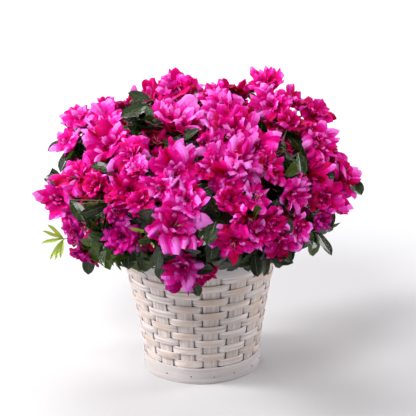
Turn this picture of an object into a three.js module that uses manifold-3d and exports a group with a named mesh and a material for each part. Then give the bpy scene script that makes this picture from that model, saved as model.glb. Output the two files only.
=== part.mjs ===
// A florist's azalea in full bloom, potted in a whitewashed basket woven of broad wood splints.
// Millimetres, +Z up. The origin is the middle of the basket's flat underside, on the ground,
// and the side that the plant shows to a viewer faces -Y.
import * as THREE from "three";
import { mergeVertices } from "three/addons/utils/BufferGeometryUtils.js";
import Module from "manifold-3d";

const wasm = await Module();
wasm.setup();

// Basket: a flared round wall of 16 upright splints with 13 rows woven round them, between two hoops.
const BASE_RADIUS = 68;
const RIM_RADIUS = 96;
const FLARE_POWER = 1.35;
const BAND_HEIGHT = 20.4;
const ROWS = 13;
const ROW_HEIGHT = 9.28;
const BASKET_HEIGHT = 2 * BAND_HEIGHT + ROWS * ROW_HEIGHT;
const STAKES = 16;
const STAKE_THICKNESS = 1.4;
const STAKE_HALF_DEG = 6.8;
const FIRST_STAKE_DEG = 8.1;
const WEAVER_THICKNESS = 1;
const WEAVER_FLAT_HALF_DEG = 7.6;
const HOOP_THICKNESS = 1.8;
const INNER_HOOP_THICKNESS = 1.6;
const LINER_THICKNESS = 1.2;
const BOARD_THICKNESS = 5;
const FOOT_CLEARANCE = 0.5;
const SOIL_TOP = 138;
const SOIL_MOUND = 3;
const GAP = 0.3;

// Crown: an ellipsoid that is flatter below than above. Blooms stand on its surface.
const CROWN_RADIUS = 183;
const CROWN_RISE = 133;
const CROWN_DROP = 86;
const CROWN_CENTRE = new THREE.Vector3(4, 0, 213);
const CELL_RISE = 125;
const LOWEST_COSINE = -0.78;
const MERIDIAN_STEPS = 240;
const MASSES = 12;
const SITES = 104;
const LEAFY_SHARE = 0.07;
const LEAFY_SKIRT_SHARE = 0.3;
const SKIRT_POLAR = 1.9;
// Places on the front with leaves in plain view: turn, polar angle and spread in degrees.
const LEAFY_PATCHES = [[-36, 96, 19], [-73, 30, 12], [-15, 37, 9], [43, 60, 11], [23, 109, 10]];
// Where the skirt lies higher or hangs lower: rise in millimetres, then turn and spread in degrees.
const DRAPES = [[14, 55, 50], [-7, -12, 15]];
const DRAPE_POLAR = [1.3, 1.8];
const GOLDEN_TURN = Math.PI * (3 - Math.sqrt(5));

// Wood of the plant.
const TRUNK_RADIUS = 8.5;
const TRUNK_TIP_RADIUS = 6;
const FLARE_RADIUS = 13;
const TRUNK_TOP_Z = 186;
const BOUGH_RADIUS = 4.2;
const BOUGH_TIP_RADIUS = 2.6;
const BOUGH_REACH = 0.45;
const STEM_REACH = 0.69;
const TWIG_RADIUS = 1.5;
const TWIG_TIP_RADIUS = 1;

// The close inner layer of foliage, as shares of the way from the crown's centre to its surface.
const CORE_INNER = 0.6;
const CORE_OUTER = 0.79;
const CORE_LUMPS = 0.035;
const CORE_MARGIN = 2;
const CORE_THROAT = 74;

// Blooms and leaves.
const BLOOM_RADIUS = 28;
const BLOOM_DEPTH = 20;
const BLOOM_CROWN = 11;
const LEAF_LENGTH = 34;
const LEAF_WIDTH = 16;
const LEAF_THICKNESS = 1.3;
const LEAVES_ON_ROSETTE = 5;
const NECK_DEPTH = BLOOM_DEPTH + 4;
const FORK_DEPTH = BLOOM_DEPTH + 22;
const SITE_MARGIN = 9;
const FORK_MARGIN = 4;
const CELL_MARGIN = 0.5;
const SLIVER = 0.15;
const BASKET_CLEARANCE = 4;
const CLEAR_MOUTH = 86;

const radians = THREE.MathUtils.degToRad;
const vec = (x, y, z) => new THREE.Vector3(x, y, z);

// A repeatable stream of numbers from 0 to 1 for one seed.
function randomStream(seed) {
  let state = (Math.imul(seed + 1, 2654435761) ^ 0x5bd1e995) >>> 0;
  return () => {
    state = (Math.imul(state, 1664525) + 1013904223) >>> 0;
    return state / 4294967296;
  };
}

const materials = {
  splint: new THREE.MeshStandardMaterial({ color: 0xd9cdc2, roughness: 0.8 }),
  hoop: new THREE.MeshStandardMaterial({ color: 0xe4dfdd, roughness: 0.7 }),
  liner: new THREE.MeshStandardMaterial({ color: 0x2d2b28, roughness: 0.5 }),
  soil: new THREE.MeshStandardMaterial({ color: 0x2e211a, roughness: 0.95 }),
  bark: new THREE.MeshStandardMaterial({ color: 0x5a4433, roughness: 0.9 }),
  bloom: new THREE.MeshStandardMaterial({ color: 0xd6148f, roughness: 0.5 }),
};

// A closed mesh from corner points and triangles, as a solid. Its faces are turned outwards.
function solidFrom(points, triangles) {
  const positions = new Float32Array(points.flatMap((p) => [p.x, p.y, p.z]));
  const make = (faces) =>
    new wasm.Manifold(
      new wasm.Mesh({
        numProp: 3,
        vertProperties: positions,
        triVerts: new Uint32Array(faces.flat()),
      }),
    );
  const made = make(triangles);
  return made.volume() > 0 ? made : make(triangles.map(([a, b, c]) => [a, c, b]));
}

function solidOfGeometry(geometry) {
  const bare = geometry.clone();
  bare.deleteAttribute("normal");
  bare.deleteAttribute("uv");
  const merged = mergeVertices(bare, 1e-4);
  const at = merged.attributes.position;
  const points = Array.from({ length: at.count }, (_, i) => vec(at.getX(i), at.getY(i), at.getZ(i)));
  const index = Array.from(merged.index.array);
  const faces = [];
  for (let i = 0; i < index.length; i += 3) {
    const face = index.slice(i, i + 3);
    if (new Set(face).size === 3) faces.push(face);
  }
  return solidFrom(points, faces);
}

function geometryOf(solid) {
  const mesh = solid.getMesh();
  const positions = new Float32Array(mesh.numVert * 3);
  for (let i = 0; i < mesh.numVert; i++)
    positions.set(mesh.vertProperties.subarray(i * mesh.numProp, i * mesh.numProp + 3), i * 3);
  const geometry = new THREE.BufferGeometry();
  geometry.setAttribute("position", new THREE.BufferAttribute(positions, 3));
  geometry.setIndex(new THREE.BufferAttribute(mesh.triVerts, 1));
  geometry.computeVertexNormals();
  return geometry;
}

// Whether each edge still joins two faces when corners closer than a hair's breadth are one.
function staysClosed(solid) {
  const mesh = solid.getMesh();
  const place = (i) => mesh.vertProperties.subarray(i * mesh.numProp, i * mesh.numProp + 3);
  const corner = (i) => Array.from(place(i), (x) => Math.round(x * 5000));
  const keys = Array.from({ length: mesh.numVert }, (_, i) => corner(i).join());
  const uses = new Map();
  for (let t = 0; t < mesh.numTri; t++) {
    const face = [0, 1, 2].map((k) => keys[mesh.triVerts[3 * t + k]]);
    if (new Set(face).size < 3) continue;
    for (let k = 0; k < 3; k++) {
      const edge = [face[k], face[(k + 1) % 3]].sort().join();
      uses.set(edge, (uses.get(edge) ?? 0) + 1);
    }
  }
  return [...uses.values()].every((count) => count === 2);
}

// The largest body of a fused solid, without the loose scraps and the slivers.
function mainBody(solid) {
  const largest = (whole) => whole.decompose().reduce((a, b) => (b.volume() > a.volume() ? b : a));
  const whole = largest(solid);
  for (const times of [1, 0.6, 0.3, 0.1, 1.6, 2.4, 3.5]) {
    const made = largest(whole.simplify(SLIVER * times));
    if (staysClosed(made)) return made;
  }
  throw new Error("a fused body doesn't stay closed");
}

function fused(solids) {
  let level = solids;
  while (level.length > 1) {
    const next = [];
    for (let i = 0; i < level.length; i += 2)
      next.push(i + 1 < level.length ? level[i].add(level[i + 1]) : level[i]);
    level = next;
  }
  return level[0];
}

const part = new THREE.Group();

function addNode(name, geometry, material) {
  const mesh = new THREE.Mesh(geometry, material);
  mesh.name = name;
  part.add(mesh);
}

// The wall follows a flared curve, drawn as straight runs between a few heights that all its pieces share.
const KNOTS = [0, 2, 6, 10, ROWS].map((row) => BAND_HEIGHT + row * ROW_HEIGHT);
const WALL_HEIGHTS = [0, ...KNOTS, BASKET_HEIGHT];
const curveRadius = (z) => BASE_RADIUS + (RIM_RADIUS - BASE_RADIUS) * (z / BASKET_HEIGHT) ** FLARE_POWER;

function wallRadius(z) {
  const last = WALL_HEIGHTS.length - 1;
  const k = Math.max(0, Math.min(last - 1, WALL_HEIGHTS.findIndex((h) => h > z) - 1));
  const step = z >= BASKET_HEIGHT ? last - 1 : k;
  const [low, high] = [WALL_HEIGHTS[step], WALL_HEIGHTS[step + 1]];
  return THREE.MathUtils.lerp(curveRadius(low), curveRadius(high), (z - low) / (high - low));
}

// Depths of the layers under the wall's outer face.
const STAKE_FACE = WEAVER_THICKNESS + GAP;
const STAKE_BACK = STAKE_FACE + STAKE_THICKNESS;
const UNDER_FACE = STAKE_BACK + GAP;
const UNDER_BACK = UNDER_FACE + WEAVER_THICKNESS;
const LINER_FACE = UNDER_FACE + INNER_HOOP_THICKNESS + GAP;
const SOIL_FACE = LINER_FACE + LINER_THICKNESS + GAP;

// A point at an angle that runs from the front towards the right.
const around = (radius, angle, z) => vec(radius * Math.sin(angle), -radius * Math.cos(angle), z);

function stakeAngle(n) {
  return radians(FIRST_STAKE_DEG + (360 / STAKES) * n);
}

// One upright splint: a flat tapering board that bends with the wall.
function stake(n) {
  const middle = stakeAngle(n);
  const half = radians(STAKE_HALF_DEG);
  const heights = [FOOT_CLEARANCE, ...KNOTS, BASKET_HEIGHT - FOOT_CLEARANCE];
  const points = [];
  for (const z of heights)
    for (const [depth, side] of [[STAKE_FACE, -1], [STAKE_FACE, 1], [STAKE_BACK, 1], [STAKE_BACK, -1]])
      points.push(around((wallRadius(z) - depth) / Math.cos(half), middle + side * half, z));
  return solidFrom(points, skin(heights.length, 4));
}

// Triangles that join rings of corner points into a closed limb.
function skin(rings, sides) {
  const faces = [];
  for (let r = 0; r + 1 < rings; r++)
    for (let s = 0; s < sides; s++) {
      const [a, b] = [r * sides + s, r * sides + ((s + 1) % sides)];
      faces.push([a, b, a + sides], [b, b + sides, a + sides]);
    }
  const top = (rings - 1) * sides;
  for (let s = 1; s + 1 < sides; s++) {
    faces.push([0, s + 1, s]);
    faces.push([top, top + s, top + s + 1]);
  }
  return faces;
}

// One woven row: a closed strip that lies flat over a splint, crosses the gap, and lies flat under the next.
function weaver(row) {
  const low = BAND_HEIGHT + (row - 1) * ROW_HEIGHT + GAP / 2;
  const high = low + ROW_HEIGHT - GAP;
  const half = radians(WEAVER_FLAT_HALF_DEG);
  const points = [];
  for (let n = 0; n < STAKES; n++) {
    const face = (row + n) % 2 === 0 ? 0 : UNDER_FACE;
    for (const side of [-1, 1])
      for (const [depth, z] of [[face, low], [face, high], [face + WEAVER_THICKNESS, high],
        [face + WEAVER_THICKNESS, low]])
        points.push(around((wallRadius(z) - depth) / Math.cos(half), stakeAngle(n) + side * half, z));
  }
  const faces = [];
  const rings = 2 * STAKES;
  for (let r = 0; r < rings; r++)
    for (let s = 0; s < 4; s++) {
      const [a, b] = [4 * r + s, 4 * r + ((s + 1) % 4)];
      const [c, d] = [4 * ((r + 1) % rings) + s, 4 * ((r + 1) % rings) + ((s + 1) % 4)];
      faces.push([a, b, c], [b, d, c]);
    }
  return solidFrom(points, faces);
}

// A turned piece from a closed profile of [radius, height] pairs, listed bottom to top on its outside.
function turned(profile, segments) {
  const outline = profile.map(([r, z]) => new THREE.Vector2(r, z));
  const geometry = new THREE.LatheGeometry(outline, segments);
  geometry.rotateX(Math.PI / 2);
  return geometryOf(solidOfGeometry(geometry));
}

function ring(inner, outer, heights, segments) {
  const out = heights.map((z) => [outer(z), z]);
  const back = heights.map((z) => [inner(z), z]).reverse();
  return turned([...out, ...back, out[0]], segments);
}

function basket() {
  const corner = (z) => (wallRadius(z) - STAKE_FACE) / Math.cos(radians(STAKE_HALF_DEG)) + GAP;
  const hoop = (z) => corner(z) + HOOP_THICKNESS;
  const bandTop = BASKET_HEIGHT - BAND_HEIGHT;
  addNode("base_hoop", ring(corner, hoop, [0, BAND_HEIGHT - GAP], 48), materials.hoop);
  addNode("rim_hoop_outer", ring(corner, hoop, [bandTop + GAP, BASKET_HEIGHT], 48), materials.hoop);
  const innerFace = (z) => wallRadius(z) - UNDER_FACE;
  const innerBack = (z) => innerFace(z) - INNER_HOOP_THICKNESS;
  addNode("rim_hoop_inner", ring(innerBack, innerFace, [bandTop + GAP, BASKET_HEIGHT], 24), materials.hoop);
  for (let n = 0; n < STAKES; n++)
    addNode(`stake_${String(n + 1).padStart(2, "0")}`, geometryOf(stake(n)), materials.splint);
  for (let row = 1; row <= ROWS; row++)
    addNode(`weaver_${String(row).padStart(2, "0")}`, geometryOf(weaver(row)), materials.splint);
  const boardRadius = wallRadius(0) - UNDER_FACE;
  const board = [[0, 0], [boardRadius, 0], [boardRadius, BOARD_THICKNESS], [0, BOARD_THICKNESS]];
  addNode("base_board", turned(board, 32), materials.splint);
}

// The growing medium fills the basket inside a thin waterproof liner.
function filling() {
  const floor = BOARD_THICKNESS + GAP;
  const linerTop = BASKET_HEIGHT - 4;
  const face = (z) => wallRadius(z) - LINER_FACE;
  const back = (z) => face(z) - LINER_THICKNESS;
  const heights = [KNOTS[1], KNOTS[3], linerTop];
  const inside = floor + LINER_THICKNESS;
  const cup = [[0, floor], [face(floor), floor], ...heights.map((z) => [face(z), z]),
    ...heights.map((z) => [back(z), z]).reverse(), [back(inside), inside], [0, inside]];
  addNode("basket_liner", turned(cup, 24), materials.liner);
  const edge = (z) => wallRadius(z) - SOIL_FACE;
  const bottom = inside + GAP;
  const side = [bottom, KNOTS[1], KNOTS[3], SOIL_TOP - 4].map((z) => [edge(z), z]);
  const mound = SOIL_TOP + SOIL_MOUND;
  const soil = [[0, bottom], ...side, [edge(SOIL_TOP) - 7, SOIL_TOP], [FLARE_RADIUS * 2, mound], [0, mound]];
  addNode("potting_soil", turned(soil, 24), materials.soil);
}

// A tapering limb through points, with so many sides and a flat cut at each end.
function limb(points, radii, sides) {
  const corners = [];
  let across = null;
  points.forEach((p, i) => {
    const ahead = points[Math.min(i + 1, points.length - 1)];
    const along = ahead.clone().sub(points[Math.max(i - 1, 0)]).normalize();
    if (i === 0) {
      const helper = Math.abs(along.z) > 0.9 ? vec(1, 0, 0) : vec(0, 0, 1);
      across = new THREE.Vector3().crossVectors(helper, along).normalize();
    }
    across = across.clone().addScaledVector(along, -across.dot(along)).normalize();
    const third = new THREE.Vector3().crossVectors(along, across);
    for (let s = 0; s < sides; s++) {
      const turn = (2 * Math.PI * s) / sides;
      const rim = p.clone().addScaledVector(across, radii[i] * Math.cos(turn));
      corners.push(rim.addScaledVector(third, radii[i] * Math.sin(turn)));
    }
  });
  return solidFrom(corners, skin(points.length, sides));
}

// Polar angles that divide the crown's surface, from its top down to the skirt, into equal areas.
const meridian = [0];
const LAST_POLAR = Math.acos(LOWEST_COSINE);
for (let i = 0; i < MERIDIAN_STEPS; i++) {
  const polar = (LAST_POLAR * (i + 0.5)) / MERIDIAN_STEPS;
  const rise = polar < Math.PI / 2 ? CROWN_RISE : CROWN_DROP;
  const arc = Math.hypot(CROWN_RADIUS * Math.cos(polar), rise * Math.sin(polar));
  meridian.push(meridian[i] + arc * Math.sin(polar));
}

function polarAt(share) {
  const wanted = share * meridian[MERIDIAN_STEPS];
  const k = meridian.findIndex((area) => area >= wanted);
  const within = (wanted - meridian[k - 1]) / (meridian[k] - meridian[k - 1]);
  return (LAST_POLAR * (k - 1 + within)) / MERIDIAN_STEPS;
}

// A point at a polar angle, a turn and a share of the way from the crown's centre to its surface.
function crownPoint(polar, turn, share) {
  const rise = polar < Math.PI / 2 ? CROWN_RISE : CROWN_DROP;
  const flat = CROWN_RADIUS * Math.sin(polar) * share;
  return vec(flat * Math.sin(turn), -flat * Math.cos(turn), rise * Math.cos(polar) * share).add(CROWN_CENTRE);
}

function crownNormal(p) {
  const from = p.clone().sub(CROWN_CENTRE);
  const rise = from.z > 0 ? CROWN_RISE : CROWN_DROP;
  return from.divide(vec(CROWN_RADIUS ** 2, CROWN_RADIUS ** 2, rise ** 2)).normalize();
}

// Headings point from the crown's centre to the middle of each mass. A mass's space is the cone of
// points whose scaled direction is nearer to its own heading than to any other.
const scaled = (p) => p.clone().sub(CROWN_CENTRE).divide(vec(CROWN_RADIUS, CROWN_RADIUS, CELL_RISE));
const masses = Array.from({ length: MASSES }, (_, m) => {
  const polar = m === 0 ? 0.12 : polarAt((m + 0.5) / MASSES);
  const turn = m * GOLDEN_TURN;
  return { polar, turn, heading: scaled(crownPoint(polar, turn, 1)).normalize(), sites: [] };
});

// Planes that bound a mass's space, as normals that point into it.
for (const mass of masses)
  mass.planes = masses
    .filter((other) => other !== mass)
    .map((other) => {
      const n = mass.heading.clone().sub(other.heading);
      return vec(n.x / CROWN_RADIUS, n.y / CROWN_RADIUS, n.z / CELL_RISE).normalize();
    });

// How far inside the nearest of a mass's planes a point lies.
function roomIn(mass, p) {
  const from = p.clone().sub(CROWN_CENTRE);
  return Math.min(...mass.planes.map((n) => n.dot(from)));
}

// The basket's rim and wall keep a clear space round them.
const clearRadius = (z) => wallRadius(Math.max(0, Math.min(z, BASKET_HEIGHT))) + BASKET_CLEARANCE;
const hitsBasket = (p) => p.z < BASKET_HEIGHT + 1.5 && Math.hypot(p.x, p.y) < clearRadius(p.z) - 0.1;

// Moves a point into the mass's space until it lies that far inside each plane and clear of the basket.
function pulledIn(mass, p, margin) {
  const moved = p.clone();
  for (let pass = 0; pass < 8; pass++) {
    for (const n of mass.planes) {
      const room = n.dot(moved.clone().sub(CROWN_CENTRE));
      if (room < margin) moved.addScaledVector(n, margin - room);
    }
    if (!hitsBasket(moved)) continue;
    const flat = Math.hypot(moved.x, moved.y);
    const out = clearRadius(moved.z) - flat;
    const up = BASKET_HEIGHT + 2 - moved.z;
    if (up < out) moved.z += up;
    else moved.multiply(vec(1 + out / flat, 1 + out / flat, 1));
  }
  return moved;
}

// The space that the basket and its filling take, a little enlarged.
function basketSpace() {
  const outline = WALL_HEIGHTS.map((z) => [wallRadius(z) + BASKET_CLEARANCE - 1, z]);
  const top = BASKET_HEIGHT + 1;
  const mouth = [[CLEAR_MOUTH, top], [CLEAR_MOUTH, SOIL_TOP + 5], [0, SOIL_TOP + 5]];
  const profile = [[0, -1], ...outline, [outline.at(-1)[0], top], ...mouth];
  const geometry = new THREE.LatheGeometry(profile.map(([r, z]) => new THREE.Vector2(r, z)), 48);
  return solidOfGeometry(geometry.rotateX(Math.PI / 2));
}

// A closed surface at a share of the way out to the crown's surface, with low lumps.
function crownSurface(share, lumps, detail) {
  const geometry = new THREE.IcosahedronGeometry(1, detail);
  const at = geometry.attributes.position;
  for (let i = 0; i < at.count; i++) {
    const [x, y, z] = [at.getX(i), at.getY(i), at.getZ(i)];
    const lump = lumps * (Math.sin(7 * x + 2) + Math.sin(6 * y - 4 * z) + Math.sin(8 * z + 3 * x)) * 0.6;
    const p = crownPoint(Math.acos(THREE.MathUtils.clamp(z, -1, 1)), Math.atan2(x, -y), share + lump);
    at.setXYZ(i, p.x, p.y, p.z);
  }
  return solidOfGeometry(geometry);
}

// The layer of close foliage round the whole crown, open below round the trunk.
function foliageLayer() {
  const outer = crownSurface(CORE_OUTER, CORE_LUMPS, 3);
  const inner = crownSurface(CORE_INNER, 0, 1);
  const throat = new THREE.CylinderGeometry(CORE_THROAT, CORE_THROAT, CROWN_DROP, 20);
  throat.rotateX(Math.PI / 2).translate(0, 0, CROWN_CENTRE.z - CROWN_DROP / 2);
  return outer.subtract(inner).subtract(solidOfGeometry(throat)).subtract(basketSolid);
}

// What lies in one mass's space, so far inside each of its planes.
function insideSpace(mass, solid, margin) {
  return mass.planes.reduce((rest, n) => rest.trimByPlane(n.toArray(), n.dot(CROWN_CENTRE) + margin), solid);
}

function isLeafy(polar, turn, chance) {
  const outward = (p, t) => new THREE.Vector3().setFromSphericalCoords(1, p, t);
  const inPatch = LEAFY_PATCHES.some(([t, p, spread]) => {
    const apart = outward(polar, turn).angleTo(outward(radians(p), radians(t)));
    return apart < radians(spread);
  });
  return inPatch || chance < (polar > SKIRT_POLAR ? LEAFY_SKIRT_SHARE : LEAFY_SHARE);
}

// How far the skirt is raised at a polar angle and a turn.
function drape(polar, turn) {
  const low = THREE.MathUtils.smoothstep(polar, ...DRAPE_POLAR);
  const sum = DRAPES.reduce((rise, [height, middle, spread]) => {
    const apart = Math.acos(Math.cos(turn - radians(middle))) / radians(spread);
    return rise + height * Math.exp(-(apart ** 2));
  }, 0);
  return low * sum;
}

function sitesOfCrown() {
  for (let i = 0; i < SITES; i++) {
    const random = randomStream(i);
    const polar = polarAt((i + 0.5) / SITES);
    const turn = i * GOLDEN_TURN + 0.14 * (random() - 0.5);
    const share = 0.9 + 0.1 * random();
    const leafy = isLeafy(polar, turn, random());
    let centre = crownPoint(polar, turn, share);
    centre.z += drape(polar, turn);
    const direction = scaled(centre).normalize();
    const mass = masses.reduce((a, b) => (b.heading.dot(direction) > a.heading.dot(direction) ? b : a));
    centre = pulledIn(mass, centre, SITE_MARGIN);
    mass.sites.push({ index: i, centre, leafy });
  }
}

// Two directions square to an axis and to each other.
function squareTo(axis) {
  const helper = Math.abs(axis.z) > 0.8 ? vec(1, 0, 0) : vec(0, 0, 1);
  const side = new THREE.Vector3().crossVectors(axis, helper).normalize();
  return [side, new THREE.Vector3().crossVectors(axis, side)];
}

// A bloom: a funnel of five pointed lobes round a smaller inner ring. A lobe that would leave the
// mass's space is shortened.
function bloom(mass, centre, axis, radius, random) {
  const [side, other] = squareTo(axis);
  const spin = random() * 2 * Math.PI;
  const spoke = (reach, turn, rise) =>
    centre.clone()
      .addScaledVector(side, reach * Math.cos(turn + spin))
      .addScaledVector(other, reach * Math.sin(turn + spin))
      .addScaledVector(axis, rise);
  const points = [centre.clone().addScaledVector(axis, -BLOOM_DEPTH)];
  for (let k = 0; k < 10; k++) {
    const tip = k % 2 === 0;
    const reach = radius * (tip ? 0.92 + 0.16 * random() : 0.72);
    const margin = CELL_MARGIN + 1.5 * random();
    points.push(pulledIn(mass, spoke(reach, (k * Math.PI) / 5, tip ? 9 * random() - 4 : -6), margin));
  }
  for (let k = 0; k < 5; k++) {
    const inner = spoke(0.45 * radius, (k * 2 * Math.PI) / 5, BLOOM_CROWN);
    points.push(pulledIn(mass, inner, CELL_MARGIN + 2 + random()));
  }
  points.push(spoke(0, 0, 3));
  const faces = [];
  for (let k = 0; k < 10; k++) faces.push([0, 1 + ((k + 1) % 10), 1 + k]);
  for (let k = 0; k < 5; k++) {
    const [tip, notch, next] = [1 + 2 * k, 2 + 2 * k, 1 + ((2 * k + 2) % 10)];
    const [here, there] = [11 + k, 11 + ((k + 1) % 5)];
    faces.push([tip, notch, here], [notch, there, here], [notch, next, there], [here, there, 16]);
  }
  return points.some(hitsBasket) ? null : solidFrom(points, faces);
}

// A leaf: a pointed oval blade, thickest along its rib. It is left out where it would leave the space.
function leaf(mass, root, out, up, length) {
  const wide = new THREE.Vector3().crossVectors(out, up).normalize();
  const face = new THREE.Vector3().crossVectors(wide, out).normalize();
  const width = (LEAF_WIDTH * length) / LEAF_LENGTH;
  const middle = root.clone().addScaledVector(out, 0.5 * length);
  const points = [
    root,
    middle.clone().addScaledVector(wide, width / 2),
    root.clone().addScaledVector(out, length).addScaledVector(face, -0.12 * length),
    middle.clone().addScaledVector(wide, -width / 2),
    middle.clone().addScaledVector(face, LEAF_THICKNESS),
    middle.clone().addScaledVector(face, -LEAF_THICKNESS * 0.3),
  ];
  if (points.some((p) => roomIn(mass, p) < CELL_MARGIN || hitsBasket(p))) return null;
  const faces = [];
  for (let k = 0; k < 4; k++) faces.push([k, (k + 1) % 4, 4], [(k + 1) % 4, k, 5]);
  return solidFrom(points, faces);
}

// The leaves of a site: a rosette where there is no bloom, and otherwise one leaf at every third bloom.
function leavesOf(mass, site, neck, head, axis, random) {
  const count = site.leafy ? LEAVES_ON_ROSETTE : Number(site.index % 3 === 0);
  const firstTurn = random() * 2 * Math.PI;
  const made = [];
  for (let k = 0; k < count; k++) {
    const turn = firstTurn + k * GOLDEN_TURN;
    const [side, other] = squareTo(axis);
    const spread = side.multiplyScalar(Math.cos(turn)).addScaledVector(other, Math.sin(turn));
    const height = site.leafy ? 0.25 + 0.6 * (k / count) : 0.2;
    const out = spread.addScaledVector(axis, site.leafy ? height : 0.1).normalize();
    const root = neck.clone().lerp(head, height).addScaledVector(out, -TWIG_TIP_RADIUS / 2);
    made.push(leaf(mass, root, out, axis, LEAF_LENGTH * (0.85 + 0.3 * random())));
  }
  return made.filter(Boolean);
}

// The twig, bloom and leaves of one site.
function spray(mass, site) {
  const random = randomStream(1000 + site.index);
  const normal = crownNormal(site.centre);
  const lean = vec(0.3 * (random() - 0.5), 0.3 * (random() - 0.5), 0.25 + 0.3 * random());
  const axis = normal.clone().add(lean).normalize();
  const fork = pulledIn(mass, site.centre.clone().addScaledVector(normal, -FORK_DEPTH), FORK_MARGIN);
  const neck = site.centre.clone().addScaledVector(axis, -NECK_DEPTH);
  const head = site.centre.clone().addScaledVector(axis, site.leafy ? -4 : -BLOOM_DEPTH * 0.55);
  const joints = site.leafy ? [fork, neck, head] : [fork, head];
  const twig = limb(joints, joints.map((_, j) => (j ? TWIG_TIP_RADIUS : TWIG_RADIUS)), 3);
  const radius = site.leafy ? 0 : BLOOM_RADIUS * (0.9 + 0.15 * random());
  const flower = site.leafy ? null : bloom(mass, site.centre, axis, radius, random);
  return [twig, flower, ...leavesOf(mass, site, neck, head, axis, random)].filter(Boolean);
}

// One mass: a stem that goes on from its bough into the close foliage, and on that foliage a twig
// to each site that carries a bloom or a rosette of leaves.
function massSolid(mass) {
  const start = crownPoint(mass.polar, mass.turn, BOUGH_REACH);
  const end = crownPoint(mass.polar, mass.turn, STEM_REACH);
  const along = end.clone().sub(start).normalize();
  const foot = start.clone().addScaledVector(along, GAP);
  const stem = limb([foot, end], [BOUGH_TIP_RADIUS, TWIG_RADIUS * 1.3], 5);
  const sprays = mass.sites.flatMap((site) => spray(mass, site));
  const solids = [insideSpace(mass, layer, CORE_MARGIN), stem, ...sprays];
  return mainBody(insideSpace(mass, fused(solids), GAP).subtract(basketSolid));
}

// The trunk stands on the soil with a flared foot and leans a little towards the front.
const TRUNK_FOOT = vec(0, 0, SOIL_TOP + SOIL_MOUND + GAP);
const TRUNK_TIP = vec(3, -4, TRUNK_TOP_Z);
const TRUNK_BEND = 5;

function trunkPoint(share) {
  const lean = share < 0.15 ? 0 : share;
  const bend = TRUNK_BEND * Math.sin(Math.PI * lean);
  const z = THREE.MathUtils.lerp(TRUNK_FOOT.z, TRUNK_TIP.z, share);
  return vec(TRUNK_TIP.x * lean - bend, TRUNK_TIP.y * lean, z);
}

function trunkLimb(grown) {
  const shares = [0, 0.1, 0.3, 0.65, 1];
  const radii = [FLARE_RADIUS, 10.5, TRUNK_RADIUS, 7.5, TRUNK_TIP_RADIUS].map((r) => r + grown);
  const points = shares.map(trunkPoint);
  points[points.length - 1].z += grown;
  return limb(points, radii, 10);
}

function boughLimb(mass, grown) {
  const low = mass.polar > 1.1;
  const order = masses.filter((m) => m.polar > 1.1).indexOf(mass);
  const start = trunkPoint(low ? 0.42 + 0.13 * (order % 3) : 0.8);
  const end = crownPoint(mass.polar, mass.turn, BOUGH_REACH);
  const finish = crownPoint(mass.polar, mass.turn, STEM_REACH).sub(end).normalize();
  const span = end.distanceTo(start);
  const early = start.clone().lerp(end, 0.33).add(vec(0, 0, low ? 0.04 * span : 0));
  const late = end.clone().addScaledVector(finish, -0.33 * span);
  const curve = new THREE.CubicBezierCurve3(start, early, late, end);
  const points = curve.getPoints(5);
  const radii = points.map((_, i) => THREE.MathUtils.lerp(BOUGH_RADIUS, BOUGH_TIP_RADIUS, i / 5) + grown);
  points[4] = end.clone().addScaledVector(finish, -0.12 * span);
  if (grown) points[5] = end.clone().addScaledVector(finish, grown);
  return limb(points, radii, 6);
}

function woodAndMasses() {
  const trunk = trunkLimb(0);
  addNode("trunk", geometryOf(trunk), materials.bark);
  let taken = trunkLimb(GAP);
  masses.forEach((mass, m) => {
    const name = String(m + 1).padStart(2, "0");
    addNode(`bough_${name}`, geometryOf(mainBody(boughLimb(mass, 0).subtract(taken))), materials.bark);
    taken = taken.add(boughLimb(mass, GAP));
    addNode(`flowering_mass_${name}`, geometryOf(massSolid(mass)), materials.bloom);
  });
}

const basketSolid = basketSpace();
const layer = foliageLayer();
sitesOfCrown();
basket();
filling();
woodAndMasses();

export default part;
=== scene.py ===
# %% [markdown]
# # A potted azalea in a woven basket
# A florist's azalea is a close dome of ruffled double blooms over dark, glossy leaves. It stands in a
# flared basket woven of broad whitewashed wood splints. The solids of the frame give the size and the
# place of every piece; this script dresses them. First the frame is loaded.

# %% Load the frame
import math

import bpy
import numpy as np
from mathutils import Matrix, Vector


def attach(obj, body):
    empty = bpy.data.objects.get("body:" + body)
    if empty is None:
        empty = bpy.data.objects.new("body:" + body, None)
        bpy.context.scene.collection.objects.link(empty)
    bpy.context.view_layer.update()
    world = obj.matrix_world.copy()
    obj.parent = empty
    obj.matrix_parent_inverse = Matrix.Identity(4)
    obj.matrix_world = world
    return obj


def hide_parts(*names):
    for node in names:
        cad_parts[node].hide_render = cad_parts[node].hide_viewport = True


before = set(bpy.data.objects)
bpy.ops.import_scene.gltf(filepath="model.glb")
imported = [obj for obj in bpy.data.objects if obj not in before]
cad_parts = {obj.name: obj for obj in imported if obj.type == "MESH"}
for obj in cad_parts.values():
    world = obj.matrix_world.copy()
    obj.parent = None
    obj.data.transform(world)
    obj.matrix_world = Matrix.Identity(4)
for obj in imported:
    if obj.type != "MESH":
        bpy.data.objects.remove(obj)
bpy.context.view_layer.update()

# %% [markdown]
# ## The camera
# The photograph looks slightly down on the plant with a long lens. The basket's foot, its straight
# rows and its 16 splints fix where such a camera stands. It is made first, because a long lens shows
# each piece nearly without perspective, and that decides how much detail its far side needs.

# %% Camera
IMAGE_PX = 416
FOCAL_PX = 2000
CAMERA_PLACE = (0, -2.209, 1.002)
LOOK_DOWN = math.radians(20.07)
LOOK_RIGHT = math.radians(0.28)
ROLL = math.radians(1.24)


def put_in_scene(name, data):
    made = bpy.data.objects.new(name, data)
    bpy.context.scene.collection.objects.link(made)
    return made


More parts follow.
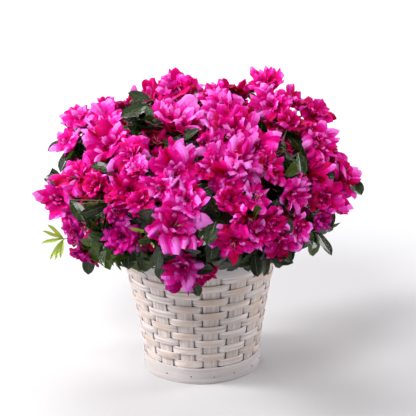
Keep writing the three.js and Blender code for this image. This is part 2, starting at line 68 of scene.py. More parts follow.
view = bpy.data.cameras.new("photo_view")
view.sensor_width = 36
view.lens = view.sensor_width * FOCAL_PX / IMAGE_PX
camera = put_in_scene("photo_view", view)
turned = Matrix.Rotation(-LOOK_RIGHT, 4, "Z") @ Matrix.Rotation(math.pi / 2 - LOOK_DOWN, 4, "X")
camera.matrix_world = Matrix.Translation(CAMERA_PLACE) @ turned @ Matrix.Rotation(-ROLL, 4, "Z")
bpy.context.scene.camera = camera
print("camera:", CAMERA_PLACE, "lens", round(view.lens, 1), "mm")

# %% [markdown]
# ## Shader arithmetic
# Finishes are worked out from coordinates, noise and masks. Node trees are hard to read as a list of
# links, so one small class wraps a socket: sums and products on it add the Math nodes, and `node`
# makes any other kind.


# %% A socket that can be reckoned with
class Tone:
    def __init__(self, tree, socket):
        self.tree = tree
        self.socket = socket

    def node(self, kind, settings, values, output=0):
        made = self.tree.nodes.new(kind)
        for name, value in settings.items():
            if name == "stops":
                self.set_stops(made.color_ramp, value)
            else:
                setattr(made, name, value)
        for name, value in values.items():
            if isinstance(value, Tone):
                self.tree.links.new(value.socket, made.inputs[name])
            else:
                made.inputs[name].default_value = value
        return Tone(self.tree, made.outputs[output])

    @staticmethod
    def set_stops(ramp, stops):
        while len(ramp.elements) < len(stops):
            ramp.elements.new(0.5)
        for element, (place, colour) in zip(ramp.elements, stops):
            element.position = place
            element.color = (*colour, 1)

    def math(self, operation, first, second):
        return self.node("ShaderNodeMath", {"operation": operation}, {0: first, 1: second})

    def __add__(self, other):
        return self.math("ADD", self, other)

    def __mul__(self, other):
        return self.math("MULTIPLY", self, other)

    __radd__ = __add__
    __rmul__ = __mul__


def ramp(value, stops):
    return value.node("ShaderNodeValToRGB", {"stops": stops}, {"Fac": value})


def mask(value, *stops):
    """A mask between 0 and 1: each stop is a place on the value and the mask's level there."""
    return ramp(value, [(place, (level,) * 3) for place, level in stops])


def blend(factor, first, second):
    values = {0: factor, 6: first, 7: second}
    return factor.node("ShaderNodeMix", {"data_type": "RGBA"}, values, output=2)


def noise(place, scale, detail=3, roughness=0.5):
    values = {"Vector": place, "Scale": scale, "Detail": detail, "Roughness": roughness}
    return place.node("ShaderNodeTexNoise", {}, values)


def stretched(place, sizes):
    return place.node("ShaderNodeMapping", {}, {"Vector": place, "Scale": sizes})


def bump(height, strength, distance):
    values = {"Height": height, "Strength": strength, "Distance": distance}
    return height.node("ShaderNodeBump", {}, values)


print("shader arithmetic ready")

# %% [markdown]
# ## A finish
# Each finish starts from one Principled shader with fixed numbers on its own sockets, because the
# export keeps those. Only what changes over the surface is fed into it from nodes. Thin parts, such as
# petals and leaves, also get a share of light that falls through them.


# %% Finishes
def solid(colour):
    return (*colour, 1)


class Finish:
    def __init__(self, name, colour, roughness=0.5, **fixed):
        self.made = bpy.data.materials.new(name)
        self.made.use_nodes = True
        self.tree = self.made.node_tree
        self.shader = self.tree.nodes["Principled BSDF"]
        self.made.diffuse_color = solid(colour)
        for key, value in {"Base_Color": solid(colour), "Roughness": roughness, **fixed}.items():
            self.shader.inputs[key.replace("_", " ")].default_value = value

    def place(self, kind="Object"):
        return Tone(self.tree, self.tree.nodes.new("ShaderNodeTexCoord").outputs[kind])

    def attribute(self, name):
        read = self.tree.nodes.new("ShaderNodeAttribute")
        read.attribute_name = name
        return Tone(self.tree, read.outputs["Fac"])

    def feed(self, **tones):
        for key, tone in tones.items():
            self.tree.links.new(tone.socket, self.shader.inputs[key.replace("_", " ")])

    def speckle(self, grain, tones, strength, distance):
        """Takes both the colour and the relief from one noise."""
        self.feed(Base_Color=ramp(grain, tones), Normal=bump(grain, strength, distance))

    def let_light_through(self, colour, share):
        through = self.tree.nodes.new("ShaderNodeBsdfTranslucent")
        through.inputs["Color"].default_value = solid(colour)
        mix = self.tree.nodes.new("ShaderNodeMixShader")
        mix.inputs[0].default_value = share
        self.tree.links.new(self.shader.outputs[0], mix.inputs[1])
        self.tree.links.new(through.outputs[0], mix.inputs[2])
        self.tree.links.new(mix.outputs[0], self.tree.nodes["Material Output"].inputs["Surface"])


print("finishes can be made")

# %% [markdown]
# ## Whitewashed wood
# The splints are thin broad-leaf veneer under a thin white wash. The wash sinks into the grain, and it
# is rubbed away to a warm tan where a splint bulges out over its neighbour. Deep in the slots between
# splints there is no wash, and the bare wood there is painted far darker, as painted shade. Each splint
# has a UV map in metres with U along its grain, so one finish serves splints that run round the basket
# and upright ones.

# %% Whitewashed wood finishes
# A very dark brown for the slots: bare wood darkened with painted shade.
SLOT_SHADE_ON_BARE_WOOD = (0.10, 0.062, 0.045)
PORE_SHARE = 0.35
SLOT_SHARE = 0.85
WASHES = [
    # name, colours of the wash, the bare wood and the streaks, wear, depth of the grain in metres
    ("row", (0.80, 0.755, 0.745), (0.55, 0.36, 0.225), (0.54, 0.47, 0.475), 1.0, 0.0005),
    ("stake", (0.72, 0.67, 0.665), (0.48, 0.36, 0.27), (0.50, 0.44, 0.45), 0.8, 0.0004),
    # The hoops' wash is greyer than the rows': partly its own colour, partly painted shade.
    ("hoop", (0.61, 0.58, 0.59), (0.50, 0.41, 0.35), (0.52, 0.48, 0.49), 0.5, 0.0003),
]


def whitewash(name, white, tan, lilac, wear, grain_depth):
    finish = Finish(f"whitewash_{name}", white, 0.72)
    along = finish.place("UV")
    fibres = noise(stretched(along, (18, 900, 1)), 1.0, 4, 0.6)
    streaks = noise(stretched(along, (14, 330, 1)), 1.0, 3, 0.6)
    clouds = noise(stretched(along, (30, 60, 1)), 1.0, 3, 0.5)
    rubbed = finish.attribute("bulge") * wear * mask(clouds, (0.3, 0.5), (0.6, 1))
    washed = blend(mask(streaks, (0.40, 0), (0.60, 1)), solid(white), solid(lilac))
    pale_tan = tuple(t * 0.55 + w * 0.45 for t, w in zip(tan, white))
    bare = blend(mask(fibres, (0.3, 0), (0.7, 1)), solid(tan), solid(pale_tan))
    colour = blend(rubbed, washed, bare)
    pores = mask(fibres, (0.3, 1), (0.42, 0))
    colour = blend(pores * PORE_SHARE, colour, solid(tuple(c * 0.62 for c in tan)))
    # Deep in a slot the colour goes to that dark brown: bare wood with painted shade.
    colour = blend(finish.attribute("recess") * SLOT_SHARE, colour, solid(SLOT_SHADE_ON_BARE_WOOD))
    finish.feed(Base_Color=colour, Roughness=fibres * 0.25 + 0.58)
    finish.feed(Normal=bump(fibres * 0.5 + streaks, 0.55, grain_depth))
    return finish.made


row_wood, stake_wood, hoop_wood = (whitewash(*wash) for wash in WASHES)
print("wood finishes:", row_wood.name, stake_wood.name, hoop_wood.name)

# %% [markdown]
# ## The basket's form
# The wall flares along a gentle curve: nearly upright at the foot and leaning out towards the rim. All
# rows, splints and hoops take their radius from the same function, so they nest as woven ones do.
# Angles run from the front towards the right.

# %% Sizes of the basket, in metres
MM = 0.001
ORIGIN = (0, 0, 0)
BASE_RADIUS = 68 * MM
RIM_RADIUS = 96 * MM
FLARE_POWER = 1.35
BAND_HEIGHT = 20.4 * MM
ROWS = 13
ROW_HEIGHT = 9.28 * MM
BASKET_HEIGHT = 2 * BAND_HEIGHT + ROWS * ROW_HEIGHT
STAKES = 16
FIRST_STAKE = math.radians(8.1)
STAKE_TURN = 2 * math.pi / STAKES
STAKE_HALF = math.radians(6.8)
WALL_ROOM = 3 * MM


def wall_radius(z):
    return BASE_RADIUS + (RIM_RADIUS - BASE_RADIUS) * (z / BASKET_HEIGHT) ** FLARE_POWER


def around(radius, angle, z):
    return np.stack([radius * np.sin(angle), -radius * np.cos(angle), z], -1)


def inside_basket(points, room):
    flat = np.hypot(points[..., 0], points[..., 1])
    low = np.clip(points[..., 2], 0, BASKET_HEIGHT)
    return (points[..., 2] < BASKET_HEIGHT + room) & (flat < wall_radius(low) + WALL_ROOM)


print("basket:", round(BASKET_HEIGHT / MM, 1), "mm high")

# %% [markdown]
# ## Tools of the bench
# The same few moves come back on every piece. An operator acts on all that is selected, so a piece is
# first made the only selected and active one. A finished piece is then held: it gets its finish, rides
# on the part, and hides the solid it takes the place of.


# %% Tools of the bench
def clear_selection():
    bpy.ops.object.select_all(action="DESELECT")


def make_active(*pieces):
    clear_selection()
    for piece in pieces:
        piece.select_set(True)
    bpy.context.view_layer.objects.active = pieces[0]


def named(name):
    """Names the primitive that was just added, and its mesh."""
    made = bpy.context.object
    made.name = name
    made.data.name = name
    return made


def edit_all(piece, operator, **settings):
    """Runs one operator of edit mode on the whole piece."""
    make_active(piece)
    bpy.ops.object.mode_set(mode="EDIT")
    bpy.ops.mesh.select_all(action="SELECT")
    operator(**settings)
    bpy.ops.object.mode_set(mode="OBJECT")


def apply_modifier(piece, kind, **settings):
    make_active(piece)
    made = piece.modifiers.new(kind.lower(), kind)
    for key, value in settings.items():
        setattr(made, key, value)
    bpy.ops.object.modifier_apply(modifier=made.name)


def corners_of(piece):
    co = np.empty(len(piece.data.vertices) * 3)
    piece.data.vertices.foreach_get("co", co)
    return co.reshape(-1, 3)


def move_corners(piece, places):
    piece.data.vertices.foreach_set("co", np.ascontiguousarray(places, float).ravel())
    piece.data.update()


def hold(piece, finishes, slot, *nodes):
    piece.data.materials.clear()
    for finish in finishes:
        piece.data.materials.append(finish)
    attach(piece, "root")
    if nodes:
        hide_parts(*nodes)
    return piece


print("bench tools ready")

# %% [markdown]
# ## Chance that repeats
# No two strips, petals or leaves are alike. Their differences come from streams of random numbers that
# start from a seed, so they are the same in each run. Each kind of thing has a seed of its own, and a
# change to one kind leaves the others as they are.

# %% Seeds
SEEDS = {
    "basket": 11, "trunk": 3, "soil": 5, "boughs": 20, "sprays": 41, "small blooms": 100,
    "large blooms": 300, "leaves": 500, "shown blooms": 700, "back blooms": 900,
    "paired blooms": 1900, "filling blooms": 2900, "deeper blooms": 3900,
}


def dealer(kind, n=0):
    return np.random.default_rng(SEEDS[kind] + n)


basket_random = dealer("basket")
print("kinds of chance:", len(SEEDS))

# %% [markdown]
# ## A strip of splint
# Every part of the wall is a flat strip of veneer that is bent. A strip starts as a grid, is wrapped
# round the basket by moving its corners, and gets its thickness and its slightly rounded edges from
# two modifiers. Its UV map keeps the flat strip's own length and width, which is how real grain runs.

# %% Strips
SHARP_EDGE = math.radians(50)
SMOOTH_BELOW = math.radians(40)


def strip(name, steps, rungs):
    clear_selection()
    bpy.ops.mesh.primitive_grid_add(x_subdivisions=steps, y_subdivisions=rungs, size=1)
    return named(name)


def wrap(piece, place, length, width, bulge, recess=None):
    flat = corners_of(piece)
    share, across = flat[:, 0] + 0.5, flat[:, 1] + 0.5
    layer = piece.data.uv_layers[0] if piece.data.uv_layers else piece.data.uv_layers.new()
    loops = np.empty(len(piece.data.loops), int)
    piece.data.loops.foreach_get("vertex_index", loops)
    uv = np.stack([share[loops] * length, across[loops] * width], 1)
    layer.data.foreach_set("uv", uv.ravel())
    for name, rule in (("bulge", bulge), ("recess", recess)):
        level = piece.data.attributes.new(name, "FLOAT", "POINT")
        level.data.foreach_set("value", rule(share, across) if rule else np.zeros(len(flat)))
    move_corners(piece, place(share, across))


def give_body(piece, thickness, rounding):
    apply_modifier(piece, "SOLIDIFY", thickness=thickness, offset=0)
    edges = {"width": rounding, "segments": 2, "limit_method": "ANGLE", "angle_limit": SHARP_EDGE}
    apply_modifier(piece, "BEVEL", **edges)
    bpy.ops.object.shade_smooth_by_angle(angle=SMOOTH_BELOW)


def shift_uv(piece, shift):
    layer = piece.data.uv_layers[0]
    uv = np.empty(len(piece.data.loops) * 2)
    layer.data.foreach_get("uv", uv)
    layer.data.foreach_set("uv", (uv.reshape(-1, 2) + shift).ravel())


print("strips ready")

# %% [markdown]
# ## Woven rows
# Each row goes over one upright splint and under the next, and neighbouring rows swap. Between the two
# splints that hold it down, a row bulges out in one long arch, and the place where it dives behind a
# splint is a dark slot. Real rows aren't quite level or even, so each drifts a little in height and
# depth, and the wash is rubbed off some arches more than off others.

# %% The arches of a row
OVER = 1.3 * MM
DIVE = 2.2 * MM
UNDER = 2.8 * MM
ARCH_POWER = 3.6
ARCHES = STAKES // 2


def from_arch(row, angle):
    """How far an angle is from the middle of its arch, as a share of the turn to the next splint."""
    first = FIRST_STAKE + (row % 2) * STAKE_TURN
    steps = (angle - first) / (2 * STAKE_TURN)
    return np.abs(steps - np.round(steps)) * 2, np.round(steps).astype(int) % ARCHES


def arch_depth(away):
    """Height of a row over its middle layer: an arch, and a hidden trough behind the next splint."""
    edge = 1 - STAKE_HALF / STAKE_TURN
    arch = OVER - (OVER + DIVE) * (np.minimum(away, edge) / edge) ** ARCH_POWER
    behind = np.clip((1 - away) / (1 - edge), 0, 1)
    return np.where(away < edge, arch, -UNDER + (UNDER - DIVE) * behind**2)


print("arches of a row:", ARCHES)

# %% [markdown]
# A row's strip closes on itself, so its two ends are merged before it gets its thickness. Two maps go
# with it: one says where the wash is rubbed off an arch, the other where the row dives into a slot, which
# the finish darkens with painted shade.

# %% Woven rows
ROW_STEPS = 384
ROW_RUNGS = 4
ROW_OVERLAP = 0.1 * MM
ROW_THICKNESS = 0.8 * MM
ROW_MIDDLE = 1.35 * MM
ROW_DRIFTS = (0.22 * MM, 0.12 * MM)
ROW_WOBBLE = 0.2 * MM
ROW_CROWN = 0.25 * MM
EDGE_ROUNDING = 0.25 * MM
MERGE_DISTANCE = 0.02 * MM
SLOT_START = 0.60
SLOT_LENGTH = 0.08


def weave_row(row):
    low = BAND_HEIGHT + (row - 1) * ROW_HEIGHT
    drift = basket_random.uniform(0, 2 * math.pi, 4)
    rubbed = basket_random.uniform(0.1, 1.0, ARCHES) ** 0.7

    def place(share, across):
        angle = share * 2 * math.pi
        away, _ = from_arch(row, angle)
        z = low - ROW_OVERLAP / 2 + across * (ROW_HEIGHT + ROW_OVERLAP)
        slow, quick = ROW_DRIFTS
        z = z + slow * np.sin(3 * angle + drift[0]) + quick * np.sin(8 * angle + drift[1])
        crown = (1 - (2 * across - 1) ** 2) * np.clip(1 - away, 0, 1)
        wobble = ROW_WOBBLE * np.sin(5 * angle + drift[2]) * np.clip(1 - 2 * away, 0, 1)
        depth = wall_radius(z) - ROW_MIDDLE + arch_depth(away) + ROW_CROWN * crown + wobble
        return around(depth, angle, z)

    def wear(share, across):
        away, arch = from_arch(row, share * 2 * math.pi)
        return rubbed[arch] * np.clip(1 - 1.5 * away, 0, 1) ** 0.6 * (1 - 0.4 * (2 * across - 1) ** 2)

    # How far the row is into a slot, where the finish paints shade over bare wood.
    def recess(share, across):
        away, _ = from_arch(row, share * 2 * math.pi)
        return np.clip((away - SLOT_START) / SLOT_LENGTH, 0, 1)

    made = strip(f"woven_row_{row:02d}", ROW_STEPS, ROW_RUNGS)
    wrap(made, place, 2 * math.pi * wall_radius(low), ROW_HEIGHT, wear, recess)
    edit_all(made, bpy.ops.mesh.remove_doubles, threshold=MERGE_DISTANCE)
    give_body(made, ROW_THICKNESS, EDGE_ROUNDING)
    shift_uv(made, basket_random.uniform(0, 9, 2))
    return hold(made, [row_wood], "splint", f"weaver_{row:02d}")


woven_rows = [weave_row(row) for row in range(1, ROWS + 1)]
print("rows:", len(woven_rows), "faces each:", len(woven_rows[0].data.polygons))

# %% [markdown]
# ## Upright splints
# Sixteen broad splints stand between the hoops. They widen with the wall and give way a little under
# each row that presses on them. All follow one rule, and each has its own grain and its own wear.

# %% Upright splints
STAKE_STEPS = 66
STAKE_RUNGS = 6
STAKE_END = 0.6 * MM
STAKE_DEPTH = 1.6 * MM
STAKE_THICKNESS = 0.9 * MM
STAKE_GIVE = 0.45 * MM
STAKE_BOW = 0.35 * MM


def shape_stake(n):
    middle = FIRST_STAKE + n * STAKE_TURN
    made = strip(f"upright_splint_{n + 1:02d}", STAKE_STEPS, STAKE_RUNGS)

    def place(share, across):
        z = STAKE_END + share * (BASKET_HEIGHT - 2 * STAKE_END)
        row = (z - BAND_HEIGHT) / ROW_HEIGHT + 0.5
        inside = (z > BAND_HEIGHT) & (z < BASKET_HEIGHT - BAND_HEIGHT)
        give = np.where(inside, np.cos(row * math.pi + n * math.pi), 0) * STAKE_GIVE
        angle = middle + (2 * across - 1) * STAKE_HALF
        bow = STAKE_BOW * (1 - (2 * across - 1) ** 2)
        return around(wall_radius(z) - STAKE_DEPTH + give + bow, angle, z)

    def wear(share, across):
        return np.full(len(share), 0.25 + 0.5 * basket_random.random())

    wrap(made, place, BASKET_HEIGHT, 2 * STAKE_HALF * BASE_RADIUS, wear)
    give_body(made, STAKE_THICKNESS, EDGE_ROUNDING)
    shift_uv(made, basket_random.uniform(0, 9, 2))
    return hold(made, [stake_wood], "splint", f"stake_{n + 1:02d}")


splints = [shape_stake(n) for n in range(STAKES)]
print("upright splints:", len(splints))

# %% [markdown]
# ## Hoops
# A broad thin hoop is nailed round the foot and another round the rim, with a plain one inside the rim.
# A hoop is one strip wound past its own start, so one end lies on top of the other: its radius grows a
# little over the last few degrees.

# %% Hoops
HOOP_STEPS = 300
HOOP_RUNGS = 5
HOOP_TURN = 2 * math.pi + math.radians(24)
LAP_SLOPE = 1.6 * math.radians(24)
LAP_LIFT = 1.7 * MM
HOOP_THICKNESS = 1.5 * MM
HOOP_ROUNDING = 0.4 * MM
HOOP_WOBBLE = 0.25 * MM
HOOP_GAP = 0.3 * MM
RIM_LOW = BASKET_HEIGHT - BAND_HEIGHT + HOOP_GAP
HOOPS = [
    # name, solid, lower and upper edge, start in degrees, distance from the wall, lap outwards, grain
    ("foot_hoop", "base_hoop", 0, BAND_HEIGHT - HOOP_GAP, -70, 0.75 * MM, 1, (0, 0)),
    ("rim_hoop", "rim_hoop_outer", RIM_LOW, BASKET_HEIGHT, -112, 0.75 * MM, 1, (3, 5)),
    ("inner_rim_hoop", "rim_hoop_inner", RIM_LOW, BASKET_HEIGHT, 140, -3.7 * MM, -0.4, (6, 2)),
]


def shape_hoop(name, node, low, high, start, depth, lap_side, grain):
    made = strip(name, HOOP_STEPS, HOOP_RUNGS)

    def place(share, across):
        angle = math.radians(start) + share * HOOP_TURN
        z = low + across * (high - low)
        rise = np.clip(1 - share * HOOP_TURN / LAP_SLOPE, 0, 1)
        lift = lap_side * LAP_LIFT * rise * rise * (3 - 2 * rise)
        wobble = HOOP_WOBBLE * np.sin(3 * angle + 1)
        radius = wall_radius(np.full_like(z, (low + high) / 2)) * 0.5 + wall_radius(z) * 0.5
        return around(radius + depth + lift + wobble, angle, z)

    def wear(share, across):
        return 0.5 + 0.5 * np.sin(23 * share) * np.sin(7 * share + 2)

    wrap(made, place, 2 * math.pi * wall_radius(low), high - low, wear)
    give_body(made, HOOP_THICKNESS, HOOP_ROUNDING)
    shift_uv(made, grain)
    return hold(made, [hoop_wood], "hoop", node)


print("hoops:", [len(shape_hoop(*hoop).data.polygons) for hoop in HOOPS])

# %% [markdown]
# ## Nails
# The small heads of the nails are pressed into the hoops over each upright splint. A head is a flattened
# ball, and the heads of one hoop are joined into one piece. They differ a little in place, as hammered
# ones do.

# %% Nail heads
NAIL_RADIUS = 1.0 * MM
NAIL_FLATNESS = 0.42
NAIL_SHIFT = 0.03
NAIL_STRAY = 0.04
NAIL_DEPTH = 1.6 * MM
FOOT_NAILS_Z = 8.5 * MM
RIM_NAILS_Z = BASKET_HEIGHT - 10 * MM
nail_metal = Finish("nail_metal", (0.16, 0.12, 0.10), 0.55, Metallic=0.7)
rust = noise(nail_metal.place(), 900)
nail_metal.feed(Base_Color=ramp(rust, [(0.35, (0.10, 0.075, 0.06)), (0.7, (0.24, 0.17, 0.13))]))


def nail_heads(name, z):
    clear_selection()
    heads = []
    for n in range(STAKES):
        stray = basket_random.uniform(-NAIL_STRAY, NAIL_STRAY)
        angle = FIRST_STAKE + n * STAKE_TURN + NAIL_SHIFT + stray
        level = z + basket_random.uniform(-1, 1) * MM
        radius = wall_radius(np.array(level)) * 0.5 + wall_radius(np.array(z)) * 0.5 + NAIL_DEPTH
        bpy.ops.mesh.primitive_uv_sphere_add(segments=12, ring_count=6, radius=NAIL_RADIUS, location=ORIGIN)
        head = bpy.context.object
        turned_head = corners_of(head) * (1, NAIL_FLATNESS, 1) @ np.array(Matrix.Rotation(-angle, 3, "Z"))
        move_corners(head, turned_head + around(radius, np.array(angle), np.array(level)))
        heads.append(head)
    make_active(*heads)
    bpy.ops.object.join()
    made = named(name)
    bpy.ops.object.shade_smooth()
    return hold(made, [nail_metal.made], "hoop")


nail_heads("foot_nails", FOOT_NAILS_Z)
nail_heads("rim_nails", RIM_NAILS_Z)
print("nails:", 2 * STAKES)

# %% [markdown]
# ## Underside and liner
# A round board closes the basket's foot, and inside hangs a dark waterproof film. Both keep the frame's
# own solids, because those have the right shape, and get finishes of their own.

# %% Board and liner
board_wood = Finish("board_wood", (0.62, 0.52, 0.42), 0.8)
board_grain = noise(stretched(board_wood.place(), (30, 900, 30)), 1.0, 4)
board_wood.speckle(board_grain, [(0.3, (0.5, 0.4, 0.31)), (0.7, (0.72, 0.63, 0.54))], 0.5, 0.0004)
film = Finish("liner_film", (0.035, 0.033, 0.03), 0.35)
creases = noise(stretched(film.place(), (60, 60, 25)), 1.0, 4)
film.feed(Normal=bump(creases, 0.8, 0.002), Roughness=creases * 0.3 + 0.2)
for node, finish in (("base_board", board_wood), ("basket_liner", film)):
    solid_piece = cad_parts[node]
    solid_piece.data.materials.clear()
    solid_piece.data.materials.append(finish.made)
print("finished solids: base_board, basket_liner")

# %% [markdown]
# ## Potting mix
# The root ball's peaty mix fills the basket to a little below the rim. Its top is a crumbly heap, so it
# is a fine disc whose corners are raised and lowered by layered waves.

# %% Soil
SOIL_TOP = 138 * MM
SOIL_BOTTOM = 7 * MM
SOIL_EDGE = 7.2 * MM
SOIL_HEAP = 3.2 * MM
SOIL_SPREAD = 85 * MM
CRUMB_SIZES = (30, 14, 7, 4.5)
CRUMB_WAVES = 6
CRUMB_SHARE = 0.012
soil_mix = Finish("peaty_soil", (0.045, 0.03, 0.02), 0.95)
crumbs = noise(soil_mix.place(), 420, 5, 0.65)
peat_tones = [(0.3, (0.018, 0.012, 0.008)), (0.55, (0.06, 0.04, 0.028)), (0.75, (0.17, 0.12, 0.08))]
soil_mix.speckle(crumbs, peat_tones, 1.0, 0.002)


def crumbly(flat):
    random = dealer("soil")
    height = np.zeros(len(flat))
    for size in CRUMB_SIZES:
        for _ in range(CRUMB_WAVES):
            way = random.uniform(0, 2 * math.pi)
            phase = random.uniform(0, 2 * math.pi)
            reach = (flat[:, 0] * math.cos(way) + flat[:, 1] * math.sin(way)) / (size * MM)
            height += np.sin(2 * math.pi * reach + phase) * size * CRUMB_SHARE * MM
    return height


clear_selection()
bpy.ops.mesh.primitive_cylinder_add(vertices=72, radius=1, depth=1, location=ORIGIN, end_fill_type="TRIFAN")
soil = named("potting_mix")
edit_all(soil, bpy.ops.mesh.subdivide, number_cuts=5)
unit = corners_of(soil)
flat_share = np.minimum(np.hypot(unit[:, 0], unit[:, 1]), 1)
level = unit[:, 2] + 0.5
z = SOIL_BOTTOM + level * (SOIL_TOP - SOIL_BOTTOM)
edge = wall_radius(z) - SOIL_EDGE
bumps = crumbly(unit[:, :2] * SOIL_SPREAD) * (1 - flat_share**8)
heap = level * (SOIL_HEAP * (1 - flat_share**2) + bumps)
move_corners(soil, np.stack([unit[:, 0] * edge, unit[:, 1] * edge, z + heap], 1))
hold(soil, [soil_mix.made], "soil", "potting_soil")
print("soil corners:", len(unit))

# %% [markdown]
# ## The rule of the plant
# The crown is an ellipsoid, flatter below than above. Its blooms sit at points of a sunflower spiral
# that divide the surface into equal areas. The same seeded stream of numbers that placed them in the
# solids places them here, so every bloom that the rule gives grows where its solid is.

# %% Sizes of the crown
CROWN_RADIUS = 183 * MM
CROWN_RISE = 133 * MM
CROWN_DROP = 86 * MM
CROWN_CENTRE = np.array([4, 0, 213]) * MM
CELL_RISE = 125 * MM
LAST_POLAR = math.acos(-0.78)
MERIDIAN_STEPS = 240
GOLDEN_TURN = math.pi * (3 - math.sqrt(5))


def stream(seed):
    state = ((seed + 1) * 2654435761 ^ 0x5BD1E995) & 0xFFFFFFFF

    def draw():
        nonlocal state
        state = (state * 1664525 + 1013904223) & 0xFFFFFFFF
        return state / 4294967296

    return draw


def rise_at(polar):
    return np.where(np.asarray(polar) < math.pi / 2, CROWN_RISE, CROWN_DROP)


middle_polars = LAST_POLAR * (np.arange(MERIDIAN_STEPS) + 0.5) / MERIDIAN_STEPS
arcs = np.hypot(CROWN_RADIUS * np.cos(middle_polars), rise_at(middle_polars) * np.sin(middle_polars))
meridian = np.concatenate([[0], np.cumsum(arcs * np.sin(middle_polars))])


def polar_at(share):
    """The polar angle that has a given share of the crown's surface above it."""
    wanted = share * meridian[-1]
    k = int(np.argmax(meridian >= wanted))
    part = (wanted - meridian[k - 1]) / (meridian[k] - meridian[k - 1])
    return LAST_POLAR * (k - 1 + part) / MERIDIAN_STEPS


def crown_point(polar, turn, share):
    flat = CROWN_RADIUS * np.sin(polar) * share
    return CROWN_CENTRE + around(flat, turn, rise_at(polar) * np.cos(polar) * share)


def unit_of(v):
    return v / np.linalg.norm(v, axis=-1, keepdims=True)


def crown_normal(p):
    out = p - CROWN_CENTRE
    rise = np.where(out[..., 2:] > 0, CROWN_RISE, CROWN_DROP)
    return unit_of(out / np.concatenate([np.full_like(rise, CROWN_RADIUS**2)] * 2 + [rise**2], -1))


print("crown:", round(2 * CROWN_RADIUS, 3), "m across")

# %% [markdown]
# ## Masses
# Twelve headings on a coarser spiral share the blooms out among flowering masses, each fed by one
# bough. A place of the crown belongs to the mass whose heading is nearest, and a bloom near the border
# of two masses is pulled in a little, as its solid was.

# %% Headings of the masses
MASSES = 12
FIRST_POLAR = 0.12


def scaled(p):
    return (p - CROWN_CENTRE) / (CROWN_RADIUS, CROWN_RADIUS, CELL_RISE)


mass_polar = np.array([FIRST_POLAR] + [polar_at((m + 0.5) / MASSES) for m in range(1, MASSES)])
mass_turn = np.arange(MASSES) * GOLDEN_TURN
headings = unit_of(scaled(crown_point(mass_polar, mass_turn, 1)))


def mass_of(p):
    return int(np.argmax(headings @ unit_of(scaled(p))))


def mass_node(m):
    return f"flowering_mass_{m + 1:02d}"


def planes_of(m):
    return unit_of((headings[m] - np.delete(headings, m, 0)) / (CROWN_RADIUS, CROWN_RADIUS, CELL_RISE))


def pulled_in(m, p, margin):
    moved = p.copy()
    for _ in range(8):
        for n in planes_of(m):
            room = n @ (moved - CROWN_CENTRE)
            if room < margin:
                moved = moved + n * (margin - room)
    return moved


print("masses:", MASSES)

# %% [markdown]
# ## Sites of the solids' blooms
# Some places of the spiral carry a rosette of leaves and no bloom, mostly under the skirt and in a few
# leafy patches. The skirt of blooms is draped: it rises over the basket on the right, and hangs a
# little lower near the middle of the front.

# %% Sites
SITES = 104
LEAFY_SHARE = 0.07
LEAFY_SKIRT_SHARE = 0.3
SKIRT_POLAR = 1.9
LEAFY_PATCHES = [(-36, 96, 19), (-73, 30, 12), (-15, 37, 9), (43, 60, 11), (23, 109, 10)]
DRAPES = [(14, 55, 50), (-7, -12, 15)]
DRAPE_POLAR = (1.3, 1.8)
BORDER_ROOM = 9 * MM
BLOOM_RADIUS = 28 * MM
BLOOM_DEPTH = 20 * MM


def outward(polar, turn):
    return np.array([math.sin(polar) * math.sin(turn), math.cos(polar), math.sin(polar) * math.cos(turn)])


def in_a_patch(polar, turn, patches, share):
    """Whether a place is in one of the patches: turn and polar angle of its middle, and its spread."""
    here = outward(polar, turn)
    return any(
        math.acos(min(1, here @ outward(math.radians(p), math.radians(t)))) < math.radians(share * spread)
        for t, p, spread in patches
    )


def is_leafy(polar, turn, chance):
    share = LEAFY_SKIRT_SHARE if polar > SKIRT_POLAR else LEAFY_SHARE
    return in_a_patch(polar, turn, LEAFY_PATCHES, 1) or chance < share


def drape(polar, turn):
    """How far the skirt is raised, or where it is negative lowered, at a polar angle and a turn."""
    t = np.clip((polar - DRAPE_POLAR[0]) / (DRAPE_POLAR[1] - DRAPE_POLAR[0]), 0, 1)
    rise = 0
    for height, middle, spread in DRAPES:
        apart = math.acos(math.cos(turn - math.radians(middle))) / math.radians(spread)
        rise += height * MM * math.exp(-(apart**2))
    return t * t * (3 - 2 * t) * rise


def draped_point(polar, turn, share):
    point = crown_point(polar, turn, share)
    point[2] += drape(polar, turn)
    return point


def site(i):
    draw = stream(i)
    polar = polar_at((i + 0.5) / SITES)
    turn = i * GOLDEN_TURN + 0.14 * (draw() - 0.5)
    centre = draped_point(polar, turn, 0.9 + 0.1 * draw())
    leafy = is_leafy(polar, turn, draw())
    m = mass_of(centre)
    centre = pulled_in(m, centre, BORDER_ROOM)
    draw = stream(1000 + i)
    lean = np.array([0.3 * (draw() - 0.5), 0.3 * (draw() - 0.5), 0.25 + 0.3 * draw()])
    axis = unit_of(crown_normal(centre) + lean)
    radius = BLOOM_RADIUS * (0.9 + 0.15 * draw())
    return {"mass": m, "centre": centre, "axis": axis, "radius": radius, "leafy": leafy,
            "polar": polar, "turn": turn, "spin": draw() * 2 * math.pi}


sites = [site(i) for i in range(SITES)]
print("blooms:", sum(not s["leafy"] for s in sites), "leaf rosettes:", sum(s["leafy"] for s in sites))
